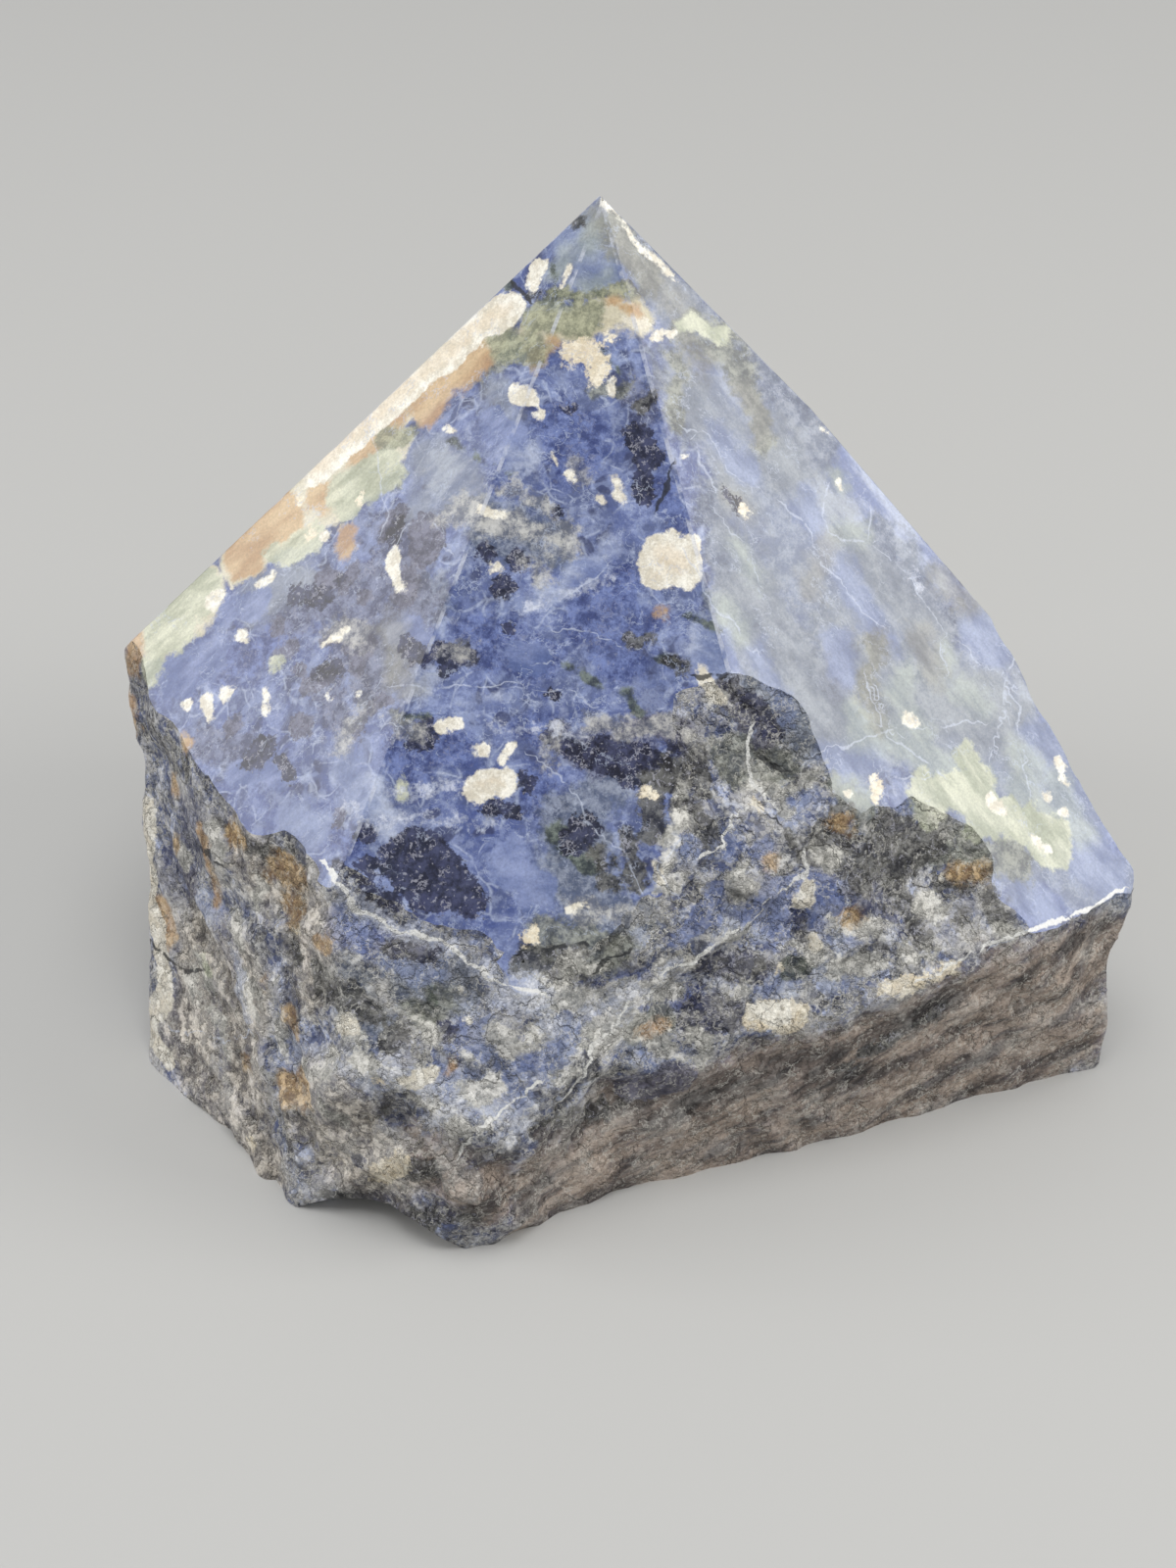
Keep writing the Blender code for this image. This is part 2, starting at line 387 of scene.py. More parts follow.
def grid_of(face):
    """The spacing of points inside a flat face."""
    if face.normal.z < FACES_DOWN:
        return BASE_GRID
    for name, (_, normal) in FACET_PLANES.items():
        if face.normal.dot(normal) > SAME_WAY:
            return FACET_GRID.get(name, OTHER_FACET_GRID)
    return OTHER_FACET_GRID


def split_long_edges(mesh, flat_faces):
    """Adds points along the straight edges of the flat faces, so that they can be filled evenly."""
    longest = {}
    for face in flat_faces:
        for edge in face.edges:
            longest[edge] = min(longest.get(edge, BASE_GRID), grid_of(face))
    for edge, spacing in longest.items():
        parts = int(math.ceil(edge.calc_length() / spacing))
        for left in range(parts, 1, -1):
            near = edge.verts[0]
            new_edge, new_vert = bmesh.utils.edge_split(edge, near, 1.0 / left)
            edge = new_edge if near not in new_edge.verts else edge
            if near in edge.verts:
                edge = next(e for e in new_vert.link_edges if near not in e.verts)


def hex_points(corners, spacing):
    """Points of an even triangular grid over the box of some flat corners."""
    low = np.min(corners, axis=0)
    high = np.max(corners, axis=0)
    row = spacing * math.sqrt(0.75)
    points = []
    for step, y in enumerate(np.arange(low[1] + row / 2, high[1], row)):
        shift = spacing / 2 * (step % 2)
        points += [(float(x), float(y)) for x in np.arange(low[0] + shift, high[0], spacing)]
    return points


def fill_evenly(mesh, face, smoothness):
    """Replaces one flat face by even triangles on the same outline."""
    spacing = grid_of(face)
    rim = [loop.vert for loop in face.loops]
    origin = rim[0].co.copy()
    across = face.normal.orthogonal().normalized()
    up = face.normal.cross(across)
    outline = [((vert.co - origin).dot(across), (vert.co - origin).dot(up)) for vert in rim]
    near_rim = kdtree.KDTree(len(rim))
    for index, (x, y) in enumerate(outline):
        near_rim.insert((x, y, 0.0), index)
    near_rim.balance()
    gap = spacing * RIM_GAP
    inner = [p for p in hex_points(outline, spacing) if near_rim.find((*p, 0.0))[2] > gap]
    flat = [Vector(p) for p in outline + inner]
    border = list(range(len(rim)))
    places, _, triangles, sources, _, _ = geometry.delaunay_2d_cdt(
        flat, [], [border], 1, FILL_TOLERANCE
    )
    mesh.faces.remove(face)
    verts = {}
    for triangle in triangles:
        corners = []
        for index in triangle:
            if index not in verts:
                rim_index = min(sources[index], default=len(rim))
                if rim_index < len(rim):
                    verts[index] = rim[rim_index]
                else:
                    place = places[index]
                    verts[index] = mesh.verts.new(origin + across * place.x + up * place.y)
            corners.append(verts[index])
        if len(set(corners)) == 3 and mesh.faces.get(corners) is None:
            mesh.faces.new(corners)[smoothness] = 1


def facet_faces(mesh):
    """The large flat faces, left by the saw and the grinding."""
    return [face for face in mesh.faces if len(face.verts) > FLAT_FACE_CORNERS]


def camera_axes():
    """The camera's right, up and forward."""
    pitch = math.radians(CAMERA_PITCH)
    right = Vector((1.0, 0.0, 0.0))
    forward = Vector((0.0, math.cos(pitch), -math.sin(pitch)))
    return right, right.cross(forward), forward


# Strokes: the farthest that a place is told about one, the pixels between the balls of one, how
# far the camera's rays reach, the flattest view of the stone that widens a ball, and the squared
# length that a ball joined to itself is divided by.
FAR = 3.0
STROKE_STEP = 12.0
RAY_LENGTH = 260.0
LEAST_SLANT = 0.35
SINGLE_BALL = 1e-9

# Uneven outlines: how broad the waves are, and how far they move a place.
WANDER = ((3.1, 0.75), (1.05, 0.35))


class Strokes:
    """Chains of balls on the stone, from strokes drawn in the photograph's pixels."""

    def __init__(self, stone):
        self.stone = stone
        self.segments = []

    def cast(self, u, v):
        """Where the photograph's pixel lies on the stone: the point and the way it faces."""
        right, up, forward = camera_axes()
        sideways = (u - PHOTO_WIDTH / 2) / FOCAL_PIXELS
        upwards = (PHOTO_HEIGHT / 2 - v) / FOCAL_PIXELS
        ray = (forward + right * sideways + up * upwards).normalized()
        place, normal, _, _ = self.stone.ray_cast(Vector(CAMERA_PLACE), ray)
        if place is None:
            beyond = Vector(CAMERA_PLACE) + ray * RAY_LENGTH
            place, normal, _, _ = self.stone.find_nearest(beyond)
        return place, normal

    def ball(self, u, v, radius):
        """A ball that shows as a disc of this radius in pixels."""
        place, normal = self.cast(u, v)
        to_camera = Vector(CAMERA_PLACE) - place
        depth = -to_camera.dot(camera_axes()[2])
        slant = max(LEAST_SLANT, normal.dot(to_camera.normalized()))
        return place, abs(depth) * radius / FOCAL_PIXELS / math.sqrt(slant), normal

    def draw(self, radius, points):
        """One stroke through these pixels, followed closely enough to stay on the stone."""
        balls = []
        for (u, v), (next_u, next_v) in zip(points, points[1:] or points):
            steps = max(1, int(math.hypot(next_u - u, next_v - v) / STROKE_STEP))
            for step in range(steps):
                share = step / steps
                place = (u + (next_u - u) * share, v + (next_v - v) * share)
                balls.append(self.ball(*place, radius))
        balls.append(self.ball(*points[-1], radius))
        self.join(balls)

    def join(self, balls):
        """Adds balls that follow each other; one alone is joined to itself."""
        for ball, next_ball in zip(balls, balls[1:] or balls):
            self.segments.append((ball, next_ball))

    def depth_inside(self, places):
        """How deep each place lies inside the nearest stroke, in millimetres, negative outside."""
        deepest = np.full(len(places), -FAR)
        for (start, start_radius, _), (end, end_radius, _) in self.segments:
            start = np.array(start)
            axis = np.array(end) - start
            reach = max(start_radius, end_radius) + FAR + np.linalg.norm(axis)
            near = np.nonzero(np.abs(places - start).max(axis=1) < reach)[0]
            away = places[near] - start
            along = np.clip(away @ axis / max(axis @ axis, SINGLE_BALL), 0.0, 1.0)
            gap = np.linalg.norm(away - along[:, None] * axis, axis=1)
            depth = start_radius + (end_radius - start_radius) * along - gap
            deepest[near] = np.maximum(deepest[near], depth)
        return deepest

    def side(self, places):
        """The gap to the nearest line, negative on its other side, and the plain gap."""
        nearest = np.full(len(places), FAR)
        signed = np.full(len(places), FAR)
        for (start, _, normal), (end, _, _) in self.segments:
            start = np.array(start)
            axis = np.array(end) - start
            reach = FAR + np.linalg.norm(axis)
            near = np.nonzero(np.abs(places - start).max(axis=1) < reach)[0]
            away = places[near] - start
            along = np.clip(away @ axis / max(axis @ axis, SINGLE_BALL), 0.0, 1.0)
            off = away - along[:, None] * axis
            gap = np.linalg.norm(off, axis=1)
            sign = np.where(off @ np.cross(axis, np.array(normal)) >= 0.0, 1.0, -1.0)
            closer = gap < nearest[near]
            chosen = near[closer]
            nearest[chosen] = gap[closer]
            signed[chosen] = (gap * sign)[closer]
        return signed, nearest


def wandered(places):
    """The places moved a little and unevenly, so that drawn strokes get natural outlines."""
    moved = []
    for place in places:
        point = Vector(place)
        shifted = point
        for breadth, reach in WANDER:
            shifted = shifted + noise.noise_vector(point / breadth) * reach
        moved.append(shifted)
    return np.array(moved)


# Markings, as read off the photograph. Each stroke is its radius, then its points, in pixels.
MARKINGS = {
    # Painted sheen: a pale grey wash over the right facet and by the tip, where the polished stone
    # reflects the bright room.
    "painted_sheen": (
        (22, 672, 300, 700, 345), (42, 745, 420, 790, 500), (60, 830, 560, 890, 650),
        (66, 880, 700, 990, 740), (50, 1000, 800, 1080, 850), (26, 1100, 900, 1140, 905),
        (20, 590, 240, 600, 270),
    ),
    "deep": (
        (22, 600, 600, 650, 640), (24, 420, 745, 455, 765), (20, 560, 790, 560, 830),
        (20, 560, 430, 600, 440), (22, 345, 955, 385, 965), (16, 682, 500, 695, 535),
        (22, 500, 668, 555, 672), (18, 470, 640, 520, 640), (22, 190, 690), (18, 400, 760, 430, 790),
        (13, 347, 855, 366, 872), (26, 590, 470, 560, 430), (22, 600, 640, 640, 680),
        (30, 790, 930, 830, 910), (20, 640, 600, 610, 650), (18, 560, 750, 540, 740),
        (24, 620, 1010, 690, 1010), (22, 285, 650, 240, 680),
    ),
    "light": (
        (16, 745, 935, 790, 945), (14, 840, 940, 860, 960), (5, 470, 722, 520, 716, 570, 724),
        (5, 640, 700, 690, 690), (20, 620, 1040, 650, 1060), (18, 300, 1080, 330, 1100),
        (16, 430, 1010, 470, 1030), (14, 840, 990, 870, 1000), (16, 215, 930, 225, 960),
        (22, 840, 455, 900, 530, 955, 590), (18, 1050, 720, 1085, 790, 1112, 850),
        (24, 520, 1130, 450, 1110), (20, 580, 1060, 560, 1090), (24, 1060, 790, 1100, 810),
        (30, 880, 500, 840, 520), (13, 515, 465, 540, 470),
        (11, 620, 560, 600, 580, 570, 600, 545, 612), (12, 403, 692, 436, 690),
        (17, 720, 655, 722, 685), (24, 745, 655, 770, 690, 790, 730), (12, 738, 375, 745, 410),
        (16, 925, 815), (20, 895, 630, 920, 660), (24, 1000, 655),
        (15, 1105, 830, 1112, 878, 1135, 897), (15, 372, 800, 400, 838), (22, 540, 1010, 600, 1030),
        (16, 750, 1000, 800, 1010), (20, 455, 480),
    ),
    "grey": (
        (26, 560, 900, 600, 850), (26, 640, 940, 600, 905), (30, 830, 440, 800, 400, 770, 370),
        (26, 640, 230, 690, 300, 740, 350), (30, 900, 560, 960, 640, 930, 690),
        (30, 1000, 720, 1050, 760), (40, 760, 600, 800, 680, 830, 730), (30, 500, 535, 550, 545),
        (34, 590, 870, 600, 930), (26, 575, 840, 620, 800), (26, 430, 610, 385, 690),
        (24, 690, 380, 700, 430), (20, 740, 480, 730, 520), (26, 740, 560, 790, 640, 810, 700),
        (22, 850, 640, 870, 700), (24, 410, 995, 470, 1000), (30, 340, 1000, 370, 1040),
        (22, 790, 470, 830, 470), (26, 920, 730, 980, 720),
    ),
    "steel": (
        (18, 1000, 620, 1030, 665, 1050, 710), (16, 1085, 770, 1105, 820), (16, 690, 300, 740, 360),
        (26, 720, 400, 750, 500, 760, 560), (30, 770, 600, 810, 690, 850, 735),
        (28, 860, 640, 920, 730, 1000, 745), (24, 790, 440, 810, 480),
        (24, 940, 630, 970, 700, 1040, 770), (20, 1060, 830, 1040, 900), (26, 440, 470, 470, 500),
        (20, 430, 515), (14, 505, 400, 515, 425), (24, 700, 400, 720, 440), (28, 870, 560, 930, 640),
        (32, 1000, 700, 1060, 780), (30, 760, 600, 800, 690), (22, 850, 760, 890, 775),
        (22, 300, 590, 260, 615), (24, 800, 470, 850, 520), (18, 625, 225, 640, 250),
    ),
    "dusk": (
        (24, 380, 600, 360, 660), (12, 648, 398, 656, 425), (16, 862, 655, 852, 700),
        (18, 660, 740, 700, 750), (30, 385, 690, 420, 620), (24, 335, 605, 300, 620),
        (24, 400, 545, 430, 560), (18, 330, 700, 350, 735), (28, 590, 760, 650, 770),
        (16, 200, 760, 260, 770), (20, 870, 905, 900, 930), (20, 180, 900, 200, 840), (20, 180, 1020),
    ),
    "clean": (
        (14, 775, 872), (12, 705, 942, 690, 955), (12, 745, 860), (20, 520, 880, 545, 920),
        (22, 180, 690, 215, 670), (14, 235, 625, 262, 618), (16, 280, 790, 245, 790),
        (14, 430, 650, 408, 640), (15, 500, 430, 520, 445), (14, 520, 668, 548, 672),
        (22, 785, 925, 825, 905, 845, 930), (16, 800, 950), (14, 720, 930, 735, 905),
        (14, 355, 935, 370, 955), (17, 465, 1058, 490, 1075), (14, 540, 1085),
        (12, 1045, 935, 1080, 925), (14, 230, 950, 235, 980),
    ),
    "lilac": (
        (14, 728, 442, 750, 465, 766, 486), (15, 822, 510, 842, 560, 870, 598, 890, 628),
        (20, 1000, 645, 1012, 662), (12, 772, 665, 793, 700, 800, 730), (14, 728, 655, 735, 680),
        (17, 850, 775, 892, 778), (24, 1100, 870, 1132, 896), (22, 1060, 760, 1095, 820),
        (18, 1065, 925, 1045, 905), (16, 860, 690, 855, 650), (14, 600, 268, 640, 285),
        (12, 568, 244, 588, 230), (18, 500, 1050, 515, 1090), (16, 450, 1115, 480, 1100),
        (14, 400, 985, 450, 992), (14, 700, 870, 740, 850), (14, 820, 815, 800, 830),
        (14, 660, 1075, 700, 1085), (14, 350, 780, 370, 820), (16, 300, 830, 320, 850),
        (12, 600, 1030, 570, 1050),
    ),
    "olive": (
        (9, 958, 838, 985, 856, 1020, 872, 1050, 890), (12, 688, 345, 740, 360, 765, 372),
        (8, 605, 395, 640, 395), (12, 755, 375, 768, 420, 780, 450), (10, 688, 370, 690, 430),
        (13, 700, 328, 740, 338), (22, 740, 770, 790, 778), (12, 890, 660, 885, 700, 892, 735),
        (20, 430, 1040, 450, 1020), (26, 560, 960, 620, 975), (20, 650, 1050, 670, 1040),
        (18, 630, 230, 660, 280), (14, 850, 800, 880, 830), (20, 520, 350, 480, 372),
        (18, 960, 870, 1040, 880),
    ),
    "milk": (
        (12, 600, 232, 600, 250), (10, 575, 260, 565, 275), (12, 625, 282, 600, 290),
        (20, 940, 770, 1000, 800), (18, 1040, 800, 1070, 840), (20, 880, 740, 920, 760),
        (18, 1080, 800, 1100, 850), (13, 738, 622, 752, 640), (11, 855, 490), (12, 858, 545, 880, 545),
        (15, 925, 690, 915, 712), (16, 930, 735, 940, 752), (9, 758, 560, 775, 590),
        (12, 980, 700, 1000, 720), (8, 968, 668, 962, 688), (12, 860, 800, 880, 815),
        (13, 1040, 770, 1060, 790),
    ),
    "taupe": (
        (14, 608, 222, 628, 240, 640, 258), (16, 650, 262, 672, 292, 690, 312),
        (12, 700, 350, 720, 372), (12, 760, 400, 775, 440), (14, 845, 555, 825, 600),
        (12, 895, 655, 885, 690, 895, 735), (10, 740, 505, 755, 518), (14, 960, 590, 985, 610),
        (12, 940, 650, 955, 690), (14, 415, 700, 400, 640),
    ),
    "sage": (
        (9, 512, 290, 528, 276), (7, 560, 298, 600, 300, 640, 302), (19, 550, 325, 580, 325, 600, 322),
        (15, 515, 350, 545, 357), (12, 395, 448, 412, 446),
    ),
    "tawny": (
        (36, 240, 990, 250, 1090), (30, 200, 960, 200, 1060), (40, 320, 1130, 380, 1190),
        (26, 310, 920, 320, 1000), (26, 250, 870, 270, 900), (26, 180, 1060, 220, 1130, 270, 1190),
    ),
    "shade": (
        (19, 640, 1114, 700, 1114, 760, 1106), (16, 780, 1094, 850, 1080), (14, 890, 1058, 960, 1026),
        (10, 820, 1110, 880, 1092), (12, 780, 1088, 850, 1072), (10, 900, 1045, 960, 1018),
        (14, 560, 1155, 600, 1145), (12, 350, 1215, 420, 1238), (10, 660, 1142, 720, 1132),
    ),
    "moss": (
        (3, 565, 262, 565, 292), (9, 532, 272, 520, 288), (6, 556, 252, 546, 260),
        (3, 616, 355, 620, 365, 632, 378), (3, 455, 450, 480, 455, 500, 470, 520, 480),
        (3, 700, 630, 720, 635, 730, 645), (6, 575, 682, 595, 690, 620, 701, 640, 712, 655, 730),
        (5, 672, 672, 695, 682), (6, 400, 733, 435, 732), (9, 435, 1012, 438, 1022),
        (12, 805, 990, 818, 990), (14, 570, 850, 600, 880),
    ),
    "violet": (
        (9, 350, 640, 335, 650), (8, 300, 740, 315, 745), (10, 360, 585, 350, 600),
        (10, 375, 655, 365, 680), (12, 420, 590, 410, 610), (9, 300, 660, 285, 670),
        (9, 395, 715, 380, 725), (14, 404, 526), (12, 393, 546), (20, 438, 540, 436, 560),
        (14, 330, 590), (9, 307, 682), (10, 335, 690, 315, 704), (11, 365, 742), (7, 355, 660),
        (12, 640, 745, 700, 745), (14, 740, 705, 762, 735), (14, 782, 750), (12, 885, 905),
        (18, 190, 900), (16, 650, 1105, 690, 1105), (10, 235, 740), (9, 345, 835), (9, 285, 640),
        (9, 372, 610),
    ),
    "navy": (
        (12, 590, 762, 560, 750), (10, 440, 742, 425, 752), (9, 700, 745, 690, 760),
        (13, 355, 905, 400, 925), (14, 652, 448, 662, 470), (20, 600, 768, 650, 782, 690, 792),
        (11, 752, 702, 772, 728, 790, 750), (13, 268, 762, 262, 778), (11, 405, 535, 400, 552),
        (9, 300, 605, 330, 608), (8, 345, 592), (9, 325, 688, 345, 680), (7, 285, 775, 296, 788),
        (7, 740, 505, 752, 520), (6, 580, 415), (9, 572, 523), (10, 497, 560), (12, 530, 573),
        (13, 512, 600), (13, 660, 490, 662, 505), (11, 416, 655, 428, 668), (12, 445, 662, 480, 672),
        (14, 455, 680), (8, 565, 709), (10, 540, 800), (12, 500, 825, 525, 830),
        (8, 425, 757, 440, 757), (20, 630, 775, 645, 790), (12, 375, 845), (14, 375, 885),
        (10, 347, 888), (36, 425, 880, 445, 900), (18, 475, 905, 480, 920), (16, 405, 967, 440, 970),
        (12, 455, 1052), (24, 715, 1040, 735, 1040), (16, 720, 990, 770, 990), (8, 368, 1187),
        (9, 520, 640), (16, 600, 845, 585, 860),
    ),
    "charcoal": (
        (16, 850, 850, 880, 900), (13, 905, 900, 930, 930), (10, 960, 900, 985, 905),
        (9, 640, 850, 650, 900), (8, 610, 870, 620, 900), (15, 662, 800, 668, 850),
        (14, 345, 1012, 380, 1030), (11, 1013, 915, 1020, 945), (11, 985, 935), (9, 742, 1000),
        (9, 772, 985), (8, 596, 214, 588, 228), (8, 545, 301, 575, 300, 600, 304, 622, 304, 642, 299),
        (8, 650, 412, 660, 405), (6, 645, 653, 668, 653), (7, 686, 678, 700, 684),
        (14, 712, 770, 716, 800), (20, 900, 850, 950, 862), (18, 890, 875, 930, 880), (18, 940, 955),
        (12, 910, 925), (12, 855, 825), (18, 540, 985, 590, 985), (12, 410, 1050, 400, 1060),
        (16, 330, 1000, 360, 1030), (8, 222, 838, 250, 862, 300, 874), (8, 190, 780), (10, 300, 975),
        (9, 305, 1135), (8, 390, 1135), (12, 410, 1190, 445, 1195),
        # The stroke from 335 to 480 pixels along the foot is painted shadow under the chipped arch.
        (10, 335, 1215, 400, 1238, 480, 1242), (6, 880, 1075, 920, 1055, 960, 1030),
        (6, 850, 1092, 870, 1088), (12, 570, 1140, 610, 1135), (18, 700, 830, 720, 850),
        (14, 680, 800, 690, 780), (10, 800, 850, 830, 880),
    ),
    "earth": (
        (60, 640, 1160, 760, 1130, 880, 1090, 1000, 1040, 1080, 1010),
        (40, 560, 1235, 680, 1190, 800, 1160, 900, 1130, 1010, 1100, 1090, 1060),
        (34, 1100, 1000, 1120, 965), (40, 560, 1200, 640, 1190), (30, 440, 1190, 500, 1225),
    ),
    "rust": (
        (5, 473, 805), (12, 285, 885, 302, 897), (9, 236, 850), (12, 300, 930), (9, 332, 960),
        (4, 570, 258), (10, 240, 855), (9, 285, 875, 305, 890), (10, 295, 928), (6, 275, 895),
        (10, 295, 1045), (14, 312, 1110, 290, 1110), (14, 1000, 888, 980, 890), (12, 860, 840),
        (12, 870, 935), (6, 270, 1000), (6, 250, 1085), (7, 180, 860),
    ),
    "frost": (
        (13, 455, 524, 500, 531, 545, 541, 580, 548), (8, 505, 495, 530, 500, 560, 520),
        (7, 590, 470, 600, 490), (8, 560, 590, 545, 575), (9, 452, 655, 480, 668),
        (10, 600, 735, 640, 745, 690, 740), (8, 565, 755, 560, 780), (12, 590, 930, 640, 930),
        (9, 430, 745, 400, 740), (10, 370, 725, 345, 760), (9, 340, 640, 370, 650),
        (8, 700, 745, 715, 760),
    ),
    "crust": (
        (9, 800, 962, 832, 976), (8, 742, 960, 760, 948), (10, 655, 1015, 690, 1012),
        (9, 285, 1050, 290, 1075), (10, 600, 1070, 620, 1062), (9, 440, 1060, 425, 1045),
        (8, 310, 1090, 330, 1098), (9, 700, 1060, 722, 1066), (9, 560, 1040, 545, 1065),
        (8, 500, 1095, 480, 1085), (8, 330, 1130, 350, 1150), (7, 270, 1090, 285, 1110),
        (9, 740, 1015, 760, 1012), (13, 430, 1120, 465, 1150), (12, 470, 1118, 500, 1112),
        (12, 520, 1070, 505, 1050), (8, 580, 985, 620, 990), (16, 545, 1012, 600, 1018, 670, 1008),
        (16, 610, 1052, 645, 1040), (13, 752, 888, 757, 908), (7, 772, 800, 800, 810, 835, 790),
        (14, 375, 1092, 425, 1100), (9, 855, 945, 900, 950), (8, 700, 800, 690, 850, 678, 880),
        (9, 245, 1000, 255, 1030), (8, 205, 985, 215, 1010), (9, 335, 1075, 355, 1085),
        (7, 220, 1040, 232, 1070), (8, 180, 860, 190, 880), (8, 265, 905, 262, 925),
        (12, 700, 978, 670, 1000, 645, 1020), (14, 655, 1052, 680, 1070), (10, 722, 700, 735, 712),
        (14, 860, 980, 890, 985), (10, 350, 1050, 370, 1062), (10, 215, 845, 222, 865),
        (10, 940, 920, 962, 930), (8, 1015, 950, 1035, 955), (10, 480, 1155, 500, 1145),
        (9, 690, 1082, 720, 1078), (8, 242, 940, 246, 955), (7, 283, 1000), (7, 195, 1000, 200, 1020),
        (8, 262, 1012), (9, 690, 900, 675, 915), (9, 790, 815, 800, 830), (8, 835, 870, 850, 880),
        (8, 920, 975, 950, 970), (8, 570, 1100, 590, 1085),
    ),
    "band": (
        (24, 500, 335, 455, 372, 415, 405, 370, 450, 330, 485, 290, 525, 245, 570),
        (24, 400, 460, 350, 500, 310, 530), (18, 545, 340, 600, 325, 650, 322),
        (30, 200, 610, 165, 640),
    ),
    "tan": (
        (16, 165, 932, 168, 952), (19, 487, 365, 455, 390, 432, 416), (30, 285, 528), (24, 250, 563),
        (18, 330, 505), (9, 545, 365, 560, 352), (9, 625, 312, 645, 316), (11, 355, 540, 355, 557),
        (9, 190, 757), (8, 785, 885), (9, 135, 660, 130, 700, 138, 735), (7, 180, 803), (10, 332, 960),
        (6, 462, 1088), (8, 655, 1052, 672, 1048), (6, 676, 627), (6, 205, 850, 215, 880, 220, 920),
        (16, 400, 430, 365, 465),
    ),
    "green_cream": (
        (9, 414, 801), (13, 292, 562, 322, 548), (12, 358, 518, 378, 502), (32, 172, 635),
        (22, 205, 608), (16, 152, 680), (20, 398, 477, 352, 502), (11, 278, 562), (14, 985, 772),
        (20, 962, 812, 998, 802), (20, 1000, 830, 1040, 840), (24, 1052, 845, 1075, 862),
        (8, 210, 985), (10, 283, 675), (10, 700, 330, 735, 340), (16, 940, 805, 950, 830),
    ),
    "cream": (
        (11, 583, 361, 600, 353, 611, 366, 607, 380), (6, 653, 810, 667, 816),
        (13, 765, 1040, 790, 1035, 812, 1040), (8, 893, 800, 893, 812),
        (8, 905, 1008, 925, 1004, 945, 996, 972, 987), (6, 305, 508), (6, 370, 510), (8, 302, 950),
        (9, 540, 960), (8, 770, 825), (5, 795, 990), (5, 387, 1105), (5, 255, 1165), (4, 757, 522),
        (7, 625, 345), (6, 318, 545), (12, 390, 1200, 410, 1185),
    ),
    "white": (
        (6, 1012, 818, 1024, 830), (5, 1056, 856, 1070, 868), (15, 492, 801, 515, 800),
        (7, 520, 762, 512, 775), (8, 822, 905, 818, 930, 822, 950, 830, 964), (3, 838, 430, 846, 445),
        (5, 1075, 770, 1090, 800), (4, 614, 208, 630, 224, 649, 243, 669, 263, 688, 283, 712, 308),
        (7, 552, 268, 545, 292), (4, 580, 266, 574, 288), (7, 640, 333, 660, 328),
        (8, 685, 343, 672, 345), (6, 623, 386, 628, 399), (9, 526, 399, 541, 399), (8, 548, 422),
        (2.5, 565, 460, 572, 474), (2.5, 583, 483, 595, 491), (5, 630, 482, 632, 496, 640, 515),
        (6, 618, 510), (5, 488, 521, 520, 525), (4, 510, 572, 505, 585), (25, 676, 566, 694, 572),
        (17, 672, 584, 700, 584), (15, 702, 556), (5, 687, 540, 686, 552), (6, 450, 742, 461, 742),
        (9, 487, 763), (8, 718, 690, 725, 702, 735, 713), (4, 671, 880, 672, 900),
        (19, 515, 316, 485, 338, 450, 363, 413, 393, 383, 424, 350, 452, 325, 474), (6, 333, 548),
        (5, 236, 597), (8, 222, 612), (5, 265, 597, 278, 584), (8, 401, 572, 408, 596), (5, 455, 436),
        (8, 249, 650), (7, 190, 720), (8, 212, 713, 211, 731), (8, 232, 706), (5, 271, 708, 271, 723),
        (5, 335, 712), (4, 367, 703), (4, 330, 655, 352, 645), (4, 695, 460), (5, 855, 493),
        (5, 945, 547), (9, 930, 736), (5, 1070, 813), (7, 1085, 830), (4, 1155, 903, 1157, 905),
        (5, 965, 897), (4, 468, 1007), (5, 475, 1045), (12, 355, 1050), (8, 440, 1095, 415, 1105),
        (9, 152, 820, 154, 900, 154, 950, 153, 1010, 156, 1050, 170, 1084), (9, 765, 1035, 800, 1034),
        (5, 865, 805), (4, 580, 930, 600, 930),
    ),
    "pale": (
        (4, 540, 620, 580, 604, 620, 590), (3, 500, 742, 560, 745, 600, 752),
        (4, 395, 800, 430, 806, 470, 800),
        (9, 345, 900, 380, 936, 420, 952, 470, 976, 520, 1000, 556, 1014),
        (6, 690, 985, 660, 1010, 630, 1040), (9, 560, 1050, 600, 1030, 640, 1010),
        (8, 540, 1150, 500, 1165), (9, 380, 1110, 350, 1090), (7, 470, 1130, 440, 1150),
        (5, 690, 1000, 740, 1005), (5, 300, 1065, 330, 1075), (14, 505, 1015, 550, 1022),
        (4, 350, 822, 385, 836, 420, 832, 450, 838, 470, 830, 492, 842), (7, 910, 955), (7, 840, 1045),
        (5, 932, 590, 938, 600), (12, 400, 1095, 440, 1110), (6, 240, 970, 245, 1010, 255, 1050),
    ),
}

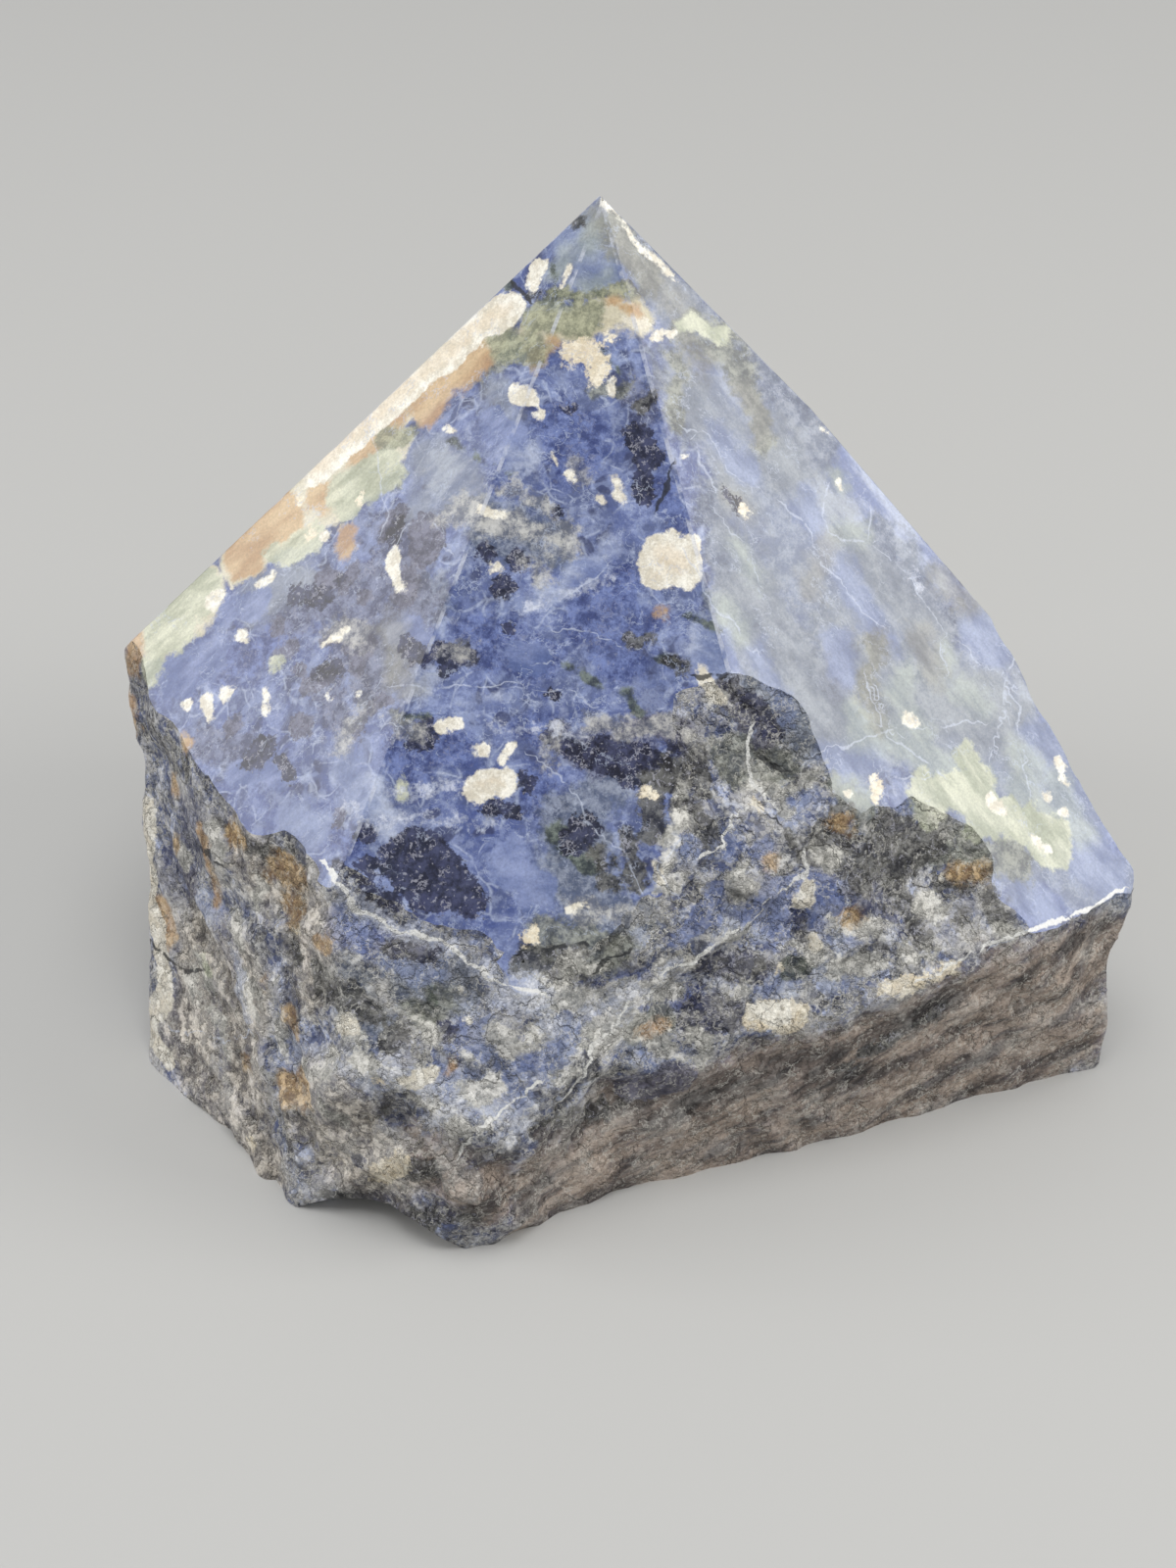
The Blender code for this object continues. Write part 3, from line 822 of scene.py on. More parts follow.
# Thin lines, in the same way but with no radius, and veins, which have one.
LINE_REACH = 3.0
PALE_LINES = (
    (545, 676, 562, 676, 566, 680),
    (405, 700, 440, 703, 470, 705, 520, 700, 560, 702, 580, 708, 605, 720),
    (545, 772, 575, 795, 590, 815, 597, 835, 620, 860, 640, 880, 655, 905), (392, 742, 410, 742),
    (700, 437, 715, 440, 730, 455, 740, 470, 755, 490, 765, 500), (728, 522, 740, 532, 754, 548),
    (703, 452, 712, 474, 728, 500), (768, 568, 778, 592), (885, 690, 894, 716, 900, 745),
    (1025, 700, 1028, 728, 1018, 760),
    (800, 510, 815, 530, 825, 550, 840, 575, 860, 595, 880, 620, 900, 640),
    (885, 553, 905, 570, 925, 590, 940, 610, 955, 635, 965, 650, 960, 670, 963, 686),
    (985, 660, 1005, 680, 1025, 695, 1035, 700),
    (820, 777, 840, 765, 865, 757, 880, 750, 900, 747, 930, 745, 960, 740, 1000, 735),
    (905, 755, 925, 765, 945, 780, 960, 790), (905, 797, 945, 795), (1025, 705, 1020, 740, 1010, 770),
    (620, 578, 590, 600, 560, 620), (430, 527, 410, 545, 405, 560), (440, 525, 450, 545, 458, 565),
    (843, 500, 842, 530, 850, 548, 865, 555, 885, 552, 885, 520),
    (865, 900, 863, 925, 855, 945, 850, 962), (765, 745, 765, 780, 770, 800, 785, 820),
    (757, 832, 745, 845, 738, 858, 720, 875, 700, 885),
    (700, 860, 680, 870, 672, 890, 680, 910, 690, 915),
    # The first line here, along the rim above the lower face, is a painted highlight on that edge.
    (1000, 975, 1050, 950, 1100, 930, 1140, 912, 1157, 900), (890, 690, 900, 715),
    (560, 640, 600, 650, 650, 660), (700, 560, 720, 600, 735, 625, 770, 660),
)
DARK_LINES = (
    (786, 838, 800, 850, 815, 862), (712, 688, 750, 689), (770, 765, 800, 780), (528, 290, 538, 305),
    (200, 860, 215, 872, 230, 882), (535, 975, 555, 972, 580, 968, 600, 965),
    (610, 990, 625, 980, 640, 972), (687, 470, 687, 500, 675, 517),
)
VEINS = (
    (3, 822, 870, 823, 885, 818, 897, 805, 903, 790, 910, 780, 920, 775, 928),
    (3, 775, 928, 760, 940, 745, 950, 735, 960, 720, 970, 700, 985, 680, 992),
    (3, 680, 992, 670, 1002, 660, 1018, 640, 1025, 628, 1037, 618, 1057),
    (3, 618, 1057, 605, 1075, 590, 1095, 585, 1110, 570, 1122),
    (3, 550, 1105, 530, 1118, 510, 1138, 490, 1150, 475, 1165, 470, 1175),
    (3, 765, 745, 765, 780, 770, 800, 785, 820), (3, 757, 832, 745, 845, 738, 858, 720, 875),
    # Along the rim above the lower face, this vein's pale colour is a painted highlight on that edge;
    # it is raised as the others are.
    (3, 940, 996, 970, 983, 1000, 970, 1050, 951, 1100, 931, 1130, 916, 1157, 902),
    (3, 333, 882, 345, 898, 357, 910, 367, 925, 380, 933, 397, 942, 412, 950),
    (3, 412, 950, 430, 958, 450, 965, 470, 974, 490, 985, 505, 994, 520, 1000),
    (3, 520, 1000, 537, 1010, 555, 1012),
)


def stone_surface():
    """The solid's own surface, in millimetres, to cast the strokes onto."""
    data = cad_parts[NODE].data
    verts = [vert.co / MM for vert in data.vertices]
    faces = [tuple(polygon.vertices) for polygon in data.polygons]
    return BVHTree.FromPolygons(verts, faces)


def pairs(numbers):
    """The numbers two by two, as the pixels of a stroke."""
    return list(zip(numbers[::2], numbers[1::2]))


def drawn(stone, strokes):
    """The strokes on the stone, as one set."""
    group = Strokes(stone)
    for radius, *numbers in strokes:
        group.draw(radius, pairs(numbers))
    return group


# Whether a place shows is looked up at it and on these sides of it. It does where the stone
# turns towards the camera by more than this.
SIDES = (
    (1, 0, 0), (-1, 0, 0), (0, 1, 0), (0, -1, 0), (0, 0, 1), (0, 0, -1), (0, -0.7, 0.7), (0, 0, 0)
)
IN_VIEW = 0.02

# Rays towards hidden places start this far out, between these heights, and aim near the middle.
START_RADIUS = 90.0
START_HEIGHTS = (1.0, 72.0)
AIM_SPREAD = 12.0
AIM_RISE = 0.8


def shows(stone, place, reach):
    """Whether the camera sees the stone anywhere within this reach of a place."""
    eye = Vector(CAMERA_PLACE)
    for side in SIDES:
        where, normal, _, _ = stone.find_nearest(place + Vector(side) * reach)
        if normal.dot((eye - where).normalized()) > IN_VIEW:
            return True
    return False


def hidden_places(stone, amount, reach, rng):
    """Random places on the stone that the photograph doesn't show, with the way each faces."""
    found = []
    while len(found) < amount:
        around = rng.uniform(0.0, 2.0 * math.pi)
        height = rng.uniform(*START_HEIGHTS)
        start = Vector((START_RADIUS * math.cos(around), START_RADIUS * math.sin(around), height))
        aside = rng.uniform(-AIM_SPREAD, AIM_SPREAD)
        along = rng.uniform(-AIM_SPREAD, AIM_SPREAD)
        inward = Vector((aside, along, height * AIM_RISE)) - start
        place, normal, _, _ = stone.ray_cast(start, inward.normalized())
        if place is not None and not shows(stone, place, reach):
            found.append((place, normal))
    return found


# Markings on the sides that the photograph doesn't show: how many, the least and most radius.
HIDDEN_BLOBS = {
    "deep": (26, 2.0, 3.6),
    "light": (24, 1.2, 3.0),
    "grey": (18, 2.0, 3.6),
    "steel": (22, 1.6, 3.2),
    "milk": (14, 0.8, 2.0),
    "taupe": (12, 1.0, 2.4),
    "clean": (16, 1.0, 2.2),
    "lilac": (14, 1.0, 2.4),
    "frost": (14, 0.5, 1.4),
    "shade": (8, 1.0, 2.4),
    "crust": (22, 0.6, 1.6),
    "olive": (12, 1.2, 2.6),
    "moss": (8, 0.3, 0.7),
    "sage": (5, 0.8, 2.0),
    "violet": (26, 0.6, 1.4),
    "navy": (46, 0.5, 2.2),
    "charcoal": (16, 0.6, 1.6),
    "dusk": (14, 1.5, 3.0),
    "earth": (8, 3.0, 5.5),
    "tawny": (8, 3.0, 5.5),
    "rust": (12, 0.5, 1.2),
    "band": (6, 1.2, 3.0),
    "tan": (12, 0.8, 2.2),
    "green_cream": (10, 1.0, 2.8),
    "cream": (14, 0.5, 1.3),
    "white": (40, 0.3, 1.1),
    "pale": (12, 0.5, 1.0),
}
HIDDEN_SEED = 11

# A hidden blob is a short chain of balls: how far away its surroundings have to be hidden, its
# stride, both in radii, its most steps, and the shares of the radius that its balls have.
HIDDEN_MARGIN = 1.5
BLOB_STRIDE = 0.8
BLOB_STEPS = 3
BLOB_SHARES = (0.5, 1.0)

# Hidden lines: how many are pale and dark, how far around them has to be hidden, their stride,
# steps and radius, and how much a path turns.
HIDDEN_LINES = {"pale": 26, "dark": 8}
LINE_MARGIN = 1.0
LINE_STRIDE = 1.6
LINE_STEPS = (4, 14)
LINE_RADIUS = 0.3
TURN = 0.35


def random_way(rng, spread):
    """A random vector, each part of it spread this much."""
    return Vector((rng.gauss(0, spread), rng.gauss(0, spread), rng.gauss(0, spread)))


def walk(stone, place, normal, stride, steps, rng):
    """A wandering path over the stone from a place."""
    heading = normal.cross(random_way(rng, 1)).normalized()
    path = [(place, normal)]
    for _ in range(steps):
        turned = heading + random_way(rng, TURN)
        heading = (turned - normal * turned.dot(normal)).normalized()
        place, normal, _, _ = stone.find_nearest(place + heading * stride)
        path.append((place, normal))
    return path


def add_hidden_markings(stone, groups, pale, dark):
    """Markings of the same kinds on the sides that the photograph doesn't show."""
    rng = random.Random(HIDDEN_SEED)
    for name, (amount, least, most) in HIDDEN_BLOBS.items():
        for place, normal in hidden_places(stone, amount, most * HIDDEN_MARGIN, rng):
            radius = rng.uniform(least, most)
            steps = rng.randint(0, BLOB_STEPS)
            path = walk(stone, place, normal, radius * BLOB_STRIDE, steps, rng)
            path = [step for step in path if not shows(stone, step[0], radius)]
            balls = [(where, radius * rng.uniform(*BLOB_SHARES), way) for where, way in path]
            if balls:
                groups[name].join(balls)
    for group, kind in ((pale, "pale"), (dark, "dark")):
        for place, normal in hidden_places(stone, HIDDEN_LINES[kind], LINE_MARGIN, rng):
            path = walk(stone, place, normal, LINE_STRIDE, rng.randint(*LINE_STEPS), rng)
            group.join([(where, LINE_RADIUS, way) for where, way in path])


def thin_lines(stone, lines):
    """Lines on the stone, as one set of strokes."""
    group = Strokes(stone)
    for numbers in lines:
        group.draw(LINE_REACH, pairs(numbers))
    return group


def cut_stone(veins):
    """The finely cut stone as an editable mesh, and the layer that marks its flat ground faces."""
    mesh = with_fine_skin(broken_block())
    roughen(mesh, veins)
    grind(mesh)
    ground = mesh.faces.layers.int.new("ground")
    split_long_edges(mesh, facet_faces(mesh))
    for face in facet_faces(mesh):
        fill_evenly(mesh, face, ground)
    bmesh.ops.triangulate(mesh, faces=mesh.faces[:])
    bmesh.ops.recalc_face_normals(mesh, faces=mesh.faces[:])
    for face in mesh.faces:
        face.smooth = not face[ground]
    for edge in mesh.edges:
        grounds = {face[ground] for face in edge.link_faces}
        edge.smooth = grounds == {0}
    return mesh, ground


def finish_of(mesh, ground):
    """Whether each face is polished, and whether it is one of the narrow worn edges."""
    polished = np.array([face[ground] and face.normal.z > FACES_DOWN for face in mesh.faces])
    normals = [normal for _, normal in FACET_PLANES.values()]
    steepest = [max(face.normal.dot(normal) for normal in normals) for face in mesh.faces]
    worn = polished * (np.array(steepest) < ON_FACET)
    return {"polished": polished, "worn": worn}


def store(data, name, values, domain="POINT"):
    """Keeps one number for each vertex or face under a name that the material reads."""
    attribute = data.attributes.new(name, "FLOAT", domain)
    attribute.data.foreach_set("value", np.ascontiguousarray(values, np.float32))


def build_stone():
    """The finely cut stone, with its markings as attributes."""
    noise.seed_set(NOISE_SEED)
    solid = stone_surface()
    groups = {name: drawn(solid, strokes) for name, strokes in MARKINGS.items()}
    pale = thin_lines(solid, PALE_LINES)
    dark = thin_lines(solid, DARK_LINES)
    veins = drawn(solid, VEINS)
    add_hidden_markings(solid, groups, pale, dark)

    mesh, ground = cut_stone(veins)
    places = np.array([vert.co for vert in mesh.verts])
    finish = finish_of(mesh, ground)
    bmesh.ops.scale(mesh, vec=(MM, MM, MM), verts=mesh.verts[:])
    data = bpy.data.meshes.new("sodalite")
    mesh.to_mesh(data)
    mesh.free()

    placed = wandered(places)
    for name, group in groups.items():
        store(data, name, group.depth_inside(placed))
    for name, group in (("pale_line", pale), ("dark_line", dark), ("vein", veins)):
        signed, gap = group.side(placed)
        store(data, name, signed)
        store(data, name + "_gap", gap)
    for name, values in finish.items():
        store(data, name, values, "FACE")
    return data


def srgb(red, green, blue):
    """A colour given as the photograph's 0 to 255 values, as the light that it stands for."""
    def linear(value):
        share = value / 255.0
        return share / 12.92 if share <= 0.04045 else ((share + 0.055) / 1.055) ** 2.4
    return (linear(red), linear(green), linear(blue), 1.0)


LINE_CORE = 0.3     # the share of a level line's width that is full strength


class Nodes:
    """Short words for making material nodes."""

    def __init__(self, tree):
        self.tree = tree

    def make(self, kind, settings=(), **inputs):
        node = self.tree.nodes.new(kind)
        for name, value in dict(settings).items():
            setattr(node, name, value)
        for name, value in inputs.items():
            self.set(node.inputs[name.replace("_", " ")], value)
        return node

    def set(self, socket, value):
        if isinstance(value, bpy.types.NodeSocket):
            self.tree.links.new(value, socket)
        else:
            socket.default_value = value

    def calc(self, operation, *values):
        node = self.make("ShaderNodeMath", {"operation": operation})
        for socket, value in zip(node.inputs, values):
            self.set(socket, value)
        return node.outputs[0]

    def scaled(self, vector, amount):
        node = self.make("ShaderNodeVectorMath", {"operation": "SCALE"})
        self.set(node.inputs[0], vector)
        node.inputs["Scale"].default_value = amount
        return node.outputs[0]

    def sum(self, first, second):
        node = self.make("ShaderNodeVectorMath", {"operation": "ADD"})
        self.set(node.inputs[0], first)
        self.set(node.inputs[1], second)
        return node.outputs[0]

    def attribute(self, name):
        return self.make("ShaderNodeAttribute", {"attribute_name": name}).outputs["Fac"]

    def noise(self, place, size, detail=2.0, roughness=0.55):
        """Soft noise from 0 to 1, about this many millimetres across."""
        node = self.make("ShaderNodeTexNoise", Vector=place, Detail=detail, Roughness=roughness)
        node.inputs["Scale"].default_value = 1.0 / size
        return node.outputs["Fac"]

    def noise_colour(self, place, size):
        node = self.make("ShaderNodeTexNoise", Vector=place, Detail=1.0)
        node.inputs["Scale"].default_value = 1.0 / size
        return node.outputs["Color"]

    def patches(self, place, name):
        """Noise as patches of a named kind."""
        size, detail, roughness, low, high = PATCHES[name]
        return self.between(self.noise(place, size, detail, roughness), low, high)

    def centred(self, place, size, detail, roughness):
        """Noise from -0.5 to 0.5, to shift an outline with."""
        return self.calc("SUBTRACT", self.noise(place, size, detail, roughness), 0.5)

    def bent(self, place, size, reach):
        """The place moved by soft noise, up to this many millimetres."""
        return self.sum(place, self.scaled(self.noise_colour(place, size), reach))

    def cells(self, place, size, feature="F1"):
        settings = {"feature": feature}
        node = self.make("ShaderNodeTexVoronoi", settings, Vector=place)
        node.inputs["Scale"].default_value = 1.0 / size
        return node.outputs

    def between(self, value, low, high):
        """0 below low, 1 above high and smooth in between."""
        node = self.make("ShaderNodeMapRange", {"interpolation_type": "SMOOTHSTEP"}, Value=value)
        node.inputs["From Min"].default_value = low
        node.inputs["From Max"].default_value = high
        return node.outputs[0]

    def mix(self, share, first, second, blend="MIX"):
        settings = {"data_type": "RGBA", "blend_type": blend}
        node = self.make("ShaderNodeMix", settings)
        self.set(node.inputs[0], share)
        self.set(node.inputs[6], first)
        self.set(node.inputs[7], second)
        return node.outputs[2]

    def over(self, colour, layers):
        """The colour under other colours, each laid on by its share and how strongly it covers."""
        for share, cover, own in layers:
            colour = self.mix(self.times(share, cover), colour, own)
        return colour

    def one_number(self, colour):
        """One random number for each cell, from its colour."""
        return self.make("ShaderNodeSeparateColor", Color=colour).outputs[0]

    def stretched(self, place, way, amount):
        """The place with its part along a direction made this many times as large."""
        along = self.make("ShaderNodeVectorMath", {"operation": "DOT_PRODUCT"})
        self.set(along.inputs[0], place)
        along.inputs[1].default_value = way
        extra = self.make("ShaderNodeVectorMath", {"operation": "SCALE"})
        extra.inputs[0].default_value = way
        self.set(extra.inputs["Scale"], self.calc("MULTIPLY", along.outputs["Value"], amount - 1.0))
        return self.sum(place, extra.outputs[0])

    def level_lines(self, level, width):
        """Thin lines where a noise passes its middle."""
        off = self.calc("ABSOLUTE", self.calc("SUBTRACT", level, 0.5))
        return self.between(off, width, width * LINE_CORE)

    def times(self, *values):
        result = values[0]
        for value in values[1:]:
            result = self.calc("MULTIPLY", result, value)
        return result


# Minerals, and the painted sheen and painted shade among them, in the order that they lie over
# each other: dark colour, light colour, how softly the edge fades and how ragged it is in
# millimetres, and how strongly it covers.
MINERALS = {
    # painted sheen on the polished facets, laid first
    "painted_sheen": (srgb(116, 126, 148), srgb(152, 160, 174), 1.20, 3.0, 0.78),
    "deep": (srgb(46, 58, 110), srgb(108, 124, 178), 0.50, 5.0, 0.80),
    "light": (srgb(112, 126, 170), srgb(198, 206, 224), 0.70, 4.5, 0.75),
    "grey": (srgb(76, 86, 102), srgb(152, 158, 168), 0.80, 6.0, 0.70),
    "dusk": (srgb(50, 54, 84), srgb(118, 124, 152), 0.50, 5.5, 0.80),
    "steel": (srgb(112, 120, 136), srgb(158, 164, 172), 1.20, 4.0, 0.65),
    "clean": (srgb(84, 100, 148), srgb(142, 154, 194), 0.25, 3.2, 0.85),
    "lilac": (srgb(98, 112, 152), srgb(146, 158, 192), 0.70, 3.6, 0.80),
    "olive": (srgb(72, 76, 72), srgb(154, 156, 142), 0.50, 4.6, 0.80),
    "milk": (srgb(140, 150, 150), srgb(182, 190, 182), 0.90, 3.4, 0.65),
    "taupe": (srgb(104, 104, 104), srgb(154, 154, 148), 0.90, 3.6, 0.62),
    "earth": (srgb(84, 74, 68), srgb(186, 168, 152), 1.80, 5.0, 0.88),
    "tawny": (srgb(106, 100, 94), srgb(238, 228, 212), 1.80, 5.0, 0.75),
    "shade": (srgb(34, 30, 32), srgb(104, 94, 90), 0.60, 4.0, 0.80),
    "moss": (srgb(40, 48, 44), srgb(112, 122, 108), 0.20, 2.0, 0.85),
    "violet": (srgb(58, 58, 78), srgb(114, 114, 134), 0.12, 1.8, 0.85),
    "navy": (srgb(14, 16, 36), srgb(58, 62, 94), 0.12, 2.2, 0.93),
    "charcoal": (srgb(24, 24, 28), srgb(112, 112, 108), 0.25, 3.6, 0.90),
    "frost": (srgb(104, 108, 120), srgb(206, 204, 196), 0.50, 5.5, 0.70),
    "crust": (srgb(146, 146, 140), srgb(240, 238, 230), 0.30, 4.0, 0.85),
    "band": (srgb(196, 188, 160), srgb(222, 216, 196), 0.35, 2.4, 0.95),
    "tan": (srgb(176, 140, 102), srgb(206, 178, 138), 0.45, 3.2, 0.90),
    "green_cream": (srgb(158, 164, 142), srgb(214, 216, 194), 0.30, 3.4, 0.90),
    "sage": (srgb(104, 110, 92), srgb(172, 174, 146), 0.45, 3.4, 0.85),
    "pale": (srgb(160, 168, 190), srgb(222, 226, 238), 0.35, 3.2, 0.70),
    "cream": (srgb(220, 206, 178), srgb(250, 242, 222), 0.20, 2.3, 0.94),
    "white": (srgb(214, 207, 190), srgb(250, 247, 236), 0.14, 1.1, 0.97),
    "rust": (srgb(124, 94, 58), srgb(222, 190, 140), 0.50, 3.6, 0.85),
}

# Which minerals have a knobby outline, lie only on the natural skin, turn tan between these
# depths, glint and how strongly, and vary along the layers or the slant instead of in grains.
KNOBBY = ("pale", "cream", "white", "violet", "navy")
SKIN_ONLY = ("earth", "tawny", "rust", "shade")
TAN_INSIDE = ("white", "cream")
TAN_DEPTH = (0.6, 1.6)
SPARKLING = {"navy": 0.60, "charcoal": 0.60, "dusk": 0.40, "deep": 0.25, "violet": 0.25}
CALM = ("light", "steel", "clean", "lilac", "milk", "taupe", "green_cream", "band", "tan")
SLANTED = ("earth", "shade")

LAYERS = (-0.09, -0.95, 0.28)           # the way across the stone's layers
SLANT = (0.86, 0.33, 0.39)              # the way along the streaks of the lower face
CRUMPLES = ((3.4, 0.85), (1.5, 0.75))   # size in millimetres, strength
SUGAR_GRAIN = 0.42                      # the size of the sugary grains

# Patches of noise: size in millimetres, detail, roughness, and the levels between which they
# come in.
PATCHES = {
    "blue_broad": (8.0, 4.0, 0.60, 0.40, 0.60),
    "blue_middle": (3.0, 5.0, 0.65, 0.42, 0.60),
    "blue_grains": (4.0, 3.0, 0.55, 0.49, 0.56),
    "blue_streaks": (5.0, 6.0, 0.65, 0.53, 0.62),
    "blue_seams": (2.2, 4.0, 0.70, 0.44, 0.56),
    "skin_blue": (7.0, 4.0, 0.65, 0.38, 0.52),
    "skin_gloom": (3.6, 6.0, 0.72, 0.54, 0.60),
    "skin_shine": (3.1, 6.0, 0.74, 0.53, 0.59),
    "skin_seams": (3.0, 3.0, 0.55, 0.45, 0.60),
    "calm": (6.0, 6.0, 0.62, 0.36, 0.64),
    "slanted": (2.2, 6.0, 0.68, 0.38, 0.62),
    "flecks": (0.42, 3.0, 0.60, 0.60, 0.66),
    "glinting_curls": (1.6, 3.0, 0.55, 0.50, 0.60),
    "skin_curls": (1.7, 3.0, 0.55, 0.46, 0.54),
    "threads": (3.5, 4.0, 0.55, 0.48, 0.58),
    "worn": (1.6, 4.0, 0.55, 0.40, 0.60),
}
CRUMPLE_SPREAD = 2.3                    # how much broader than a crumple its patches are
CRUMPLE_LEVELS = (0.47, 0.56)           # the levels between which these come in
TERRACE_RISE = 0.16                     # the height of a terrace, as a share of its size

# Thin lines: colour, width in millimetres, how strongly they cover, and the levels of a noise
# between which they come out of their gaps. All are shaken by a noise this strong.
LINES = {
    "dark_line": (srgb(34, 36, 40), 0.26, 0.85, (0.36, 0.50)),
    "pale_line": (srgb(200, 208, 226), 0.11, 0.50, (0.36, 0.50)),
    "vein": (srgb(230, 230, 226), 0.25, 0.85, (0.24, 0.36)),
}
LINE_SHAKE = 0.8


# Colours of the ground, of its broken skin, and of what lies over them, painted light among them.
BLUE_DARK = srgb(80, 96, 152)
BLUE_LIGHT = srgb(124, 138, 184)
BLUE_GREY = srgb(94, 104, 134)
BLUE_PALE = srgb(172, 182, 210)
BLUE_DEEP = srgb(48, 58, 108)
GRAIN_BLUE = srgb(50, 56, 92)
STREAK_BLUE = srgb(150, 164, 204)
SEAM_BLUE = srgb(184, 194, 218)
SKIN_DARK = srgb(60, 62, 72)
SKIN_DARK_BLUE = srgb(74, 86, 126)
SKIN_LIGHT = srgb(222, 221, 214)
SKIN_LIGHT_BLUE = srgb(190, 200, 228)
GLOOM_DARK = srgb(30, 30, 34)
GLOOM_LIGHT = srgb(104, 104, 100)
SHINE_DARK = srgb(150, 150, 146)
SHINE_LIGHT = srgb(238, 235, 226)
SEAM_GREY = srgb(224, 222, 214)
GLINT = srgb(172, 172, 184)
TAN_HEART = srgb(222, 204, 176)
RIDGE_HIGHLIGHT = srgb(226, 224, 216)
RIDGE_SHADE = srgb(30, 30, 36)
GRAIN_PALE = srgb(214, 212, 208)
GRAIN_DULL = srgb(46, 46, 52)
PAINTED_HIGH_POINT_LIGHT = srgb(208, 206, 202)
PAINTED_HOLLOW_SHADE = srgb(48, 46, 50)
CURL = srgb(218, 216, 208)
THREAD = srgb(186, 196, 218)
WORN_PALE_AND_EDGE_HIGHLIGHT = srgb(206, 210, 222)


def blue_ground(nodes, place, crunch):
    """Sodalite's own blue: mottled, with darker grains in a paler net."""
    bent = nodes.bent(place, 3.0, 3.0)
    broad = nodes.patches(bent, "blue_broad")
    middle = nodes.patches(bent, "blue_middle")
    grain = nodes.between(nodes.cells(bent, 2.0)["Distance"], 0.46, 0.34)
    grainy = nodes.patches(place, "blue_grains")
    streaks = nodes.patches(nodes.stretched(bent, LAYERS, 4.0), "blue_streaks")
    seams = nodes.between(nodes.cells(bent, 2.6, "DISTANCE_TO_EDGE")["Distance"], 0.07, 0.0)
    seamed = nodes.patches(place, "blue_seams")
    return nodes.over(nodes.mix(broad, BLUE_DARK, BLUE_LIGHT), (
        (middle, 0.60, BLUE_GREY),
        (crunch, 0.30, BLUE_PALE),
        (nodes.calc("SUBTRACT", 1.0, crunch), 0.35, BLUE_DEEP),
        (nodes.times(grain, grainy), 0.75, GRAIN_BLUE),
        (streaks, 0.45, STREAK_BLUE),
        (nodes.times(seams, seamed), 0.50, SEAM_BLUE),
    ))


def broken_ground(nodes, place, crunch):
    """The rough skin between the blue: grey grains, dark hollows and frosted pale ridges."""
    blue = nodes.patches(place, "skin_blue")
    dark = nodes.mix(blue, SKIN_DARK, SKIN_DARK_BLUE)
    light = nodes.mix(blue, SKIN_LIGHT, SKIN_LIGHT_BLUE)
    gloom = nodes.patches(place, "skin_gloom")
    shine = nodes.patches(place, "skin_shine")
    bent = nodes.bent(place, 1.5, 2.0)
    seams = nodes.between(nodes.cells(bent, 2.0, "DISTANCE_TO_EDGE")["Distance"], 0.10, 0.0)
    seamed = nodes.patches(place, "skin_seams")
    return nodes.over(nodes.mix(crunch, dark, light), (
        (gloom, 0.75, nodes.mix(crunch, GLOOM_DARK, GLOOM_LIGHT)),
        (shine, 0.75, nodes.mix(crunch, SHINE_DARK, SHINE_LIGHT)),
        (nodes.times(seams, seamed), 0.60, SEAM_GREY),
    ))


def tones_of(nodes, place, crunchy):
    """The ways in which minerals vary: crunchy, calm along the layers, slanted as on the foot."""
    return {
        "crunchy": nodes.between(crunchy, 0.40, 0.62),
        "calm": nodes.patches(nodes.stretched(place, LAYERS, 4.0), "calm"),
        "slanted": nodes.patches(nodes.stretched(place, SLANT, 0.25), "slanted"),
    }


def glints(nodes, place):
    """Small bright flecks and curls, as where crystal faces catch the light."""
    flecks = nodes.patches(place, "flecks")
    curls = nodes.level_lines(nodes.noise(place, 0.75, 3.0, 0.6), 0.035)
    dense = nodes.patches(place, "glinting_curls")
    return nodes.calc("MAXIMUM", flecks, nodes.times(curls, dense))


def marked(nodes, place, colour, natural, tones):
    """The minerals, with the painted sheen and painted shade, laid over the ground, in order."""
    ragged = nodes.centred(place, 1.8, 6.0, 0.72)
    knobs = nodes.centred(place, 0.6, 5.0, 0.70)
    sparks = glints(nodes, place)
    for name, (dark, light, softness, raggedness, cover) in MINERALS.items():
        outline = knobs if name in KNOBBY else ragged
        depth = nodes.calc("MULTIPLY_ADD", outline, raggedness, nodes.attribute(name))
        share = nodes.times(nodes.between(depth, -softness, softness), cover)
        if name in SKIN_ONLY:
            share = nodes.times(share, natural)
        kind = "calm" if name in CALM else "slanted" if name in SLANTED else "crunchy"
        own = nodes.mix(tones[kind], dark, light)
        if name in SPARKLING:
            own = nodes.mix(nodes.times(sparks, SPARKLING[name]), own, GLINT)
        if name in TAN_INSIDE:
            inside = nodes.between(depth, *TAN_DEPTH)
            own = nodes.mix(nodes.times(inside, 0.5), own, TAN_HEART)
        colour = nodes.mix(share, colour, own)
    return colour


def lined(nodes, place, colour):
    """Thin lines of each kind, shaken, uneven in width and broken by gaps."""
    shake = nodes.centred(place, 1.5, 6.0, 0.75)
    unevenness = nodes.noise(place, 1.2, 4.0, 0.7)
    breaks = nodes.noise(place, 1.3, 3.0)
    for name, (own, width, cover, gaps) in LINES.items():
        side = nodes.calc("MULTIPLY_ADD", shake, LINE_SHAKE, nodes.attribute(name))
        wide = nodes.calc("MULTIPLY", unevenness, width * 2.0)
        inside = nodes.calc("SUBTRACT", wide, nodes.calc("ABSOLUTE", side))
        near = nodes.between(nodes.attribute(name + "_gap"), 0.9, 0.5)
        share = nodes.times(nodes.between(inside, -0.05, 0.08), near, nodes.between(breaks, *gaps))
        colour = nodes.over(colour, ((share, cover, own),))
    return colour


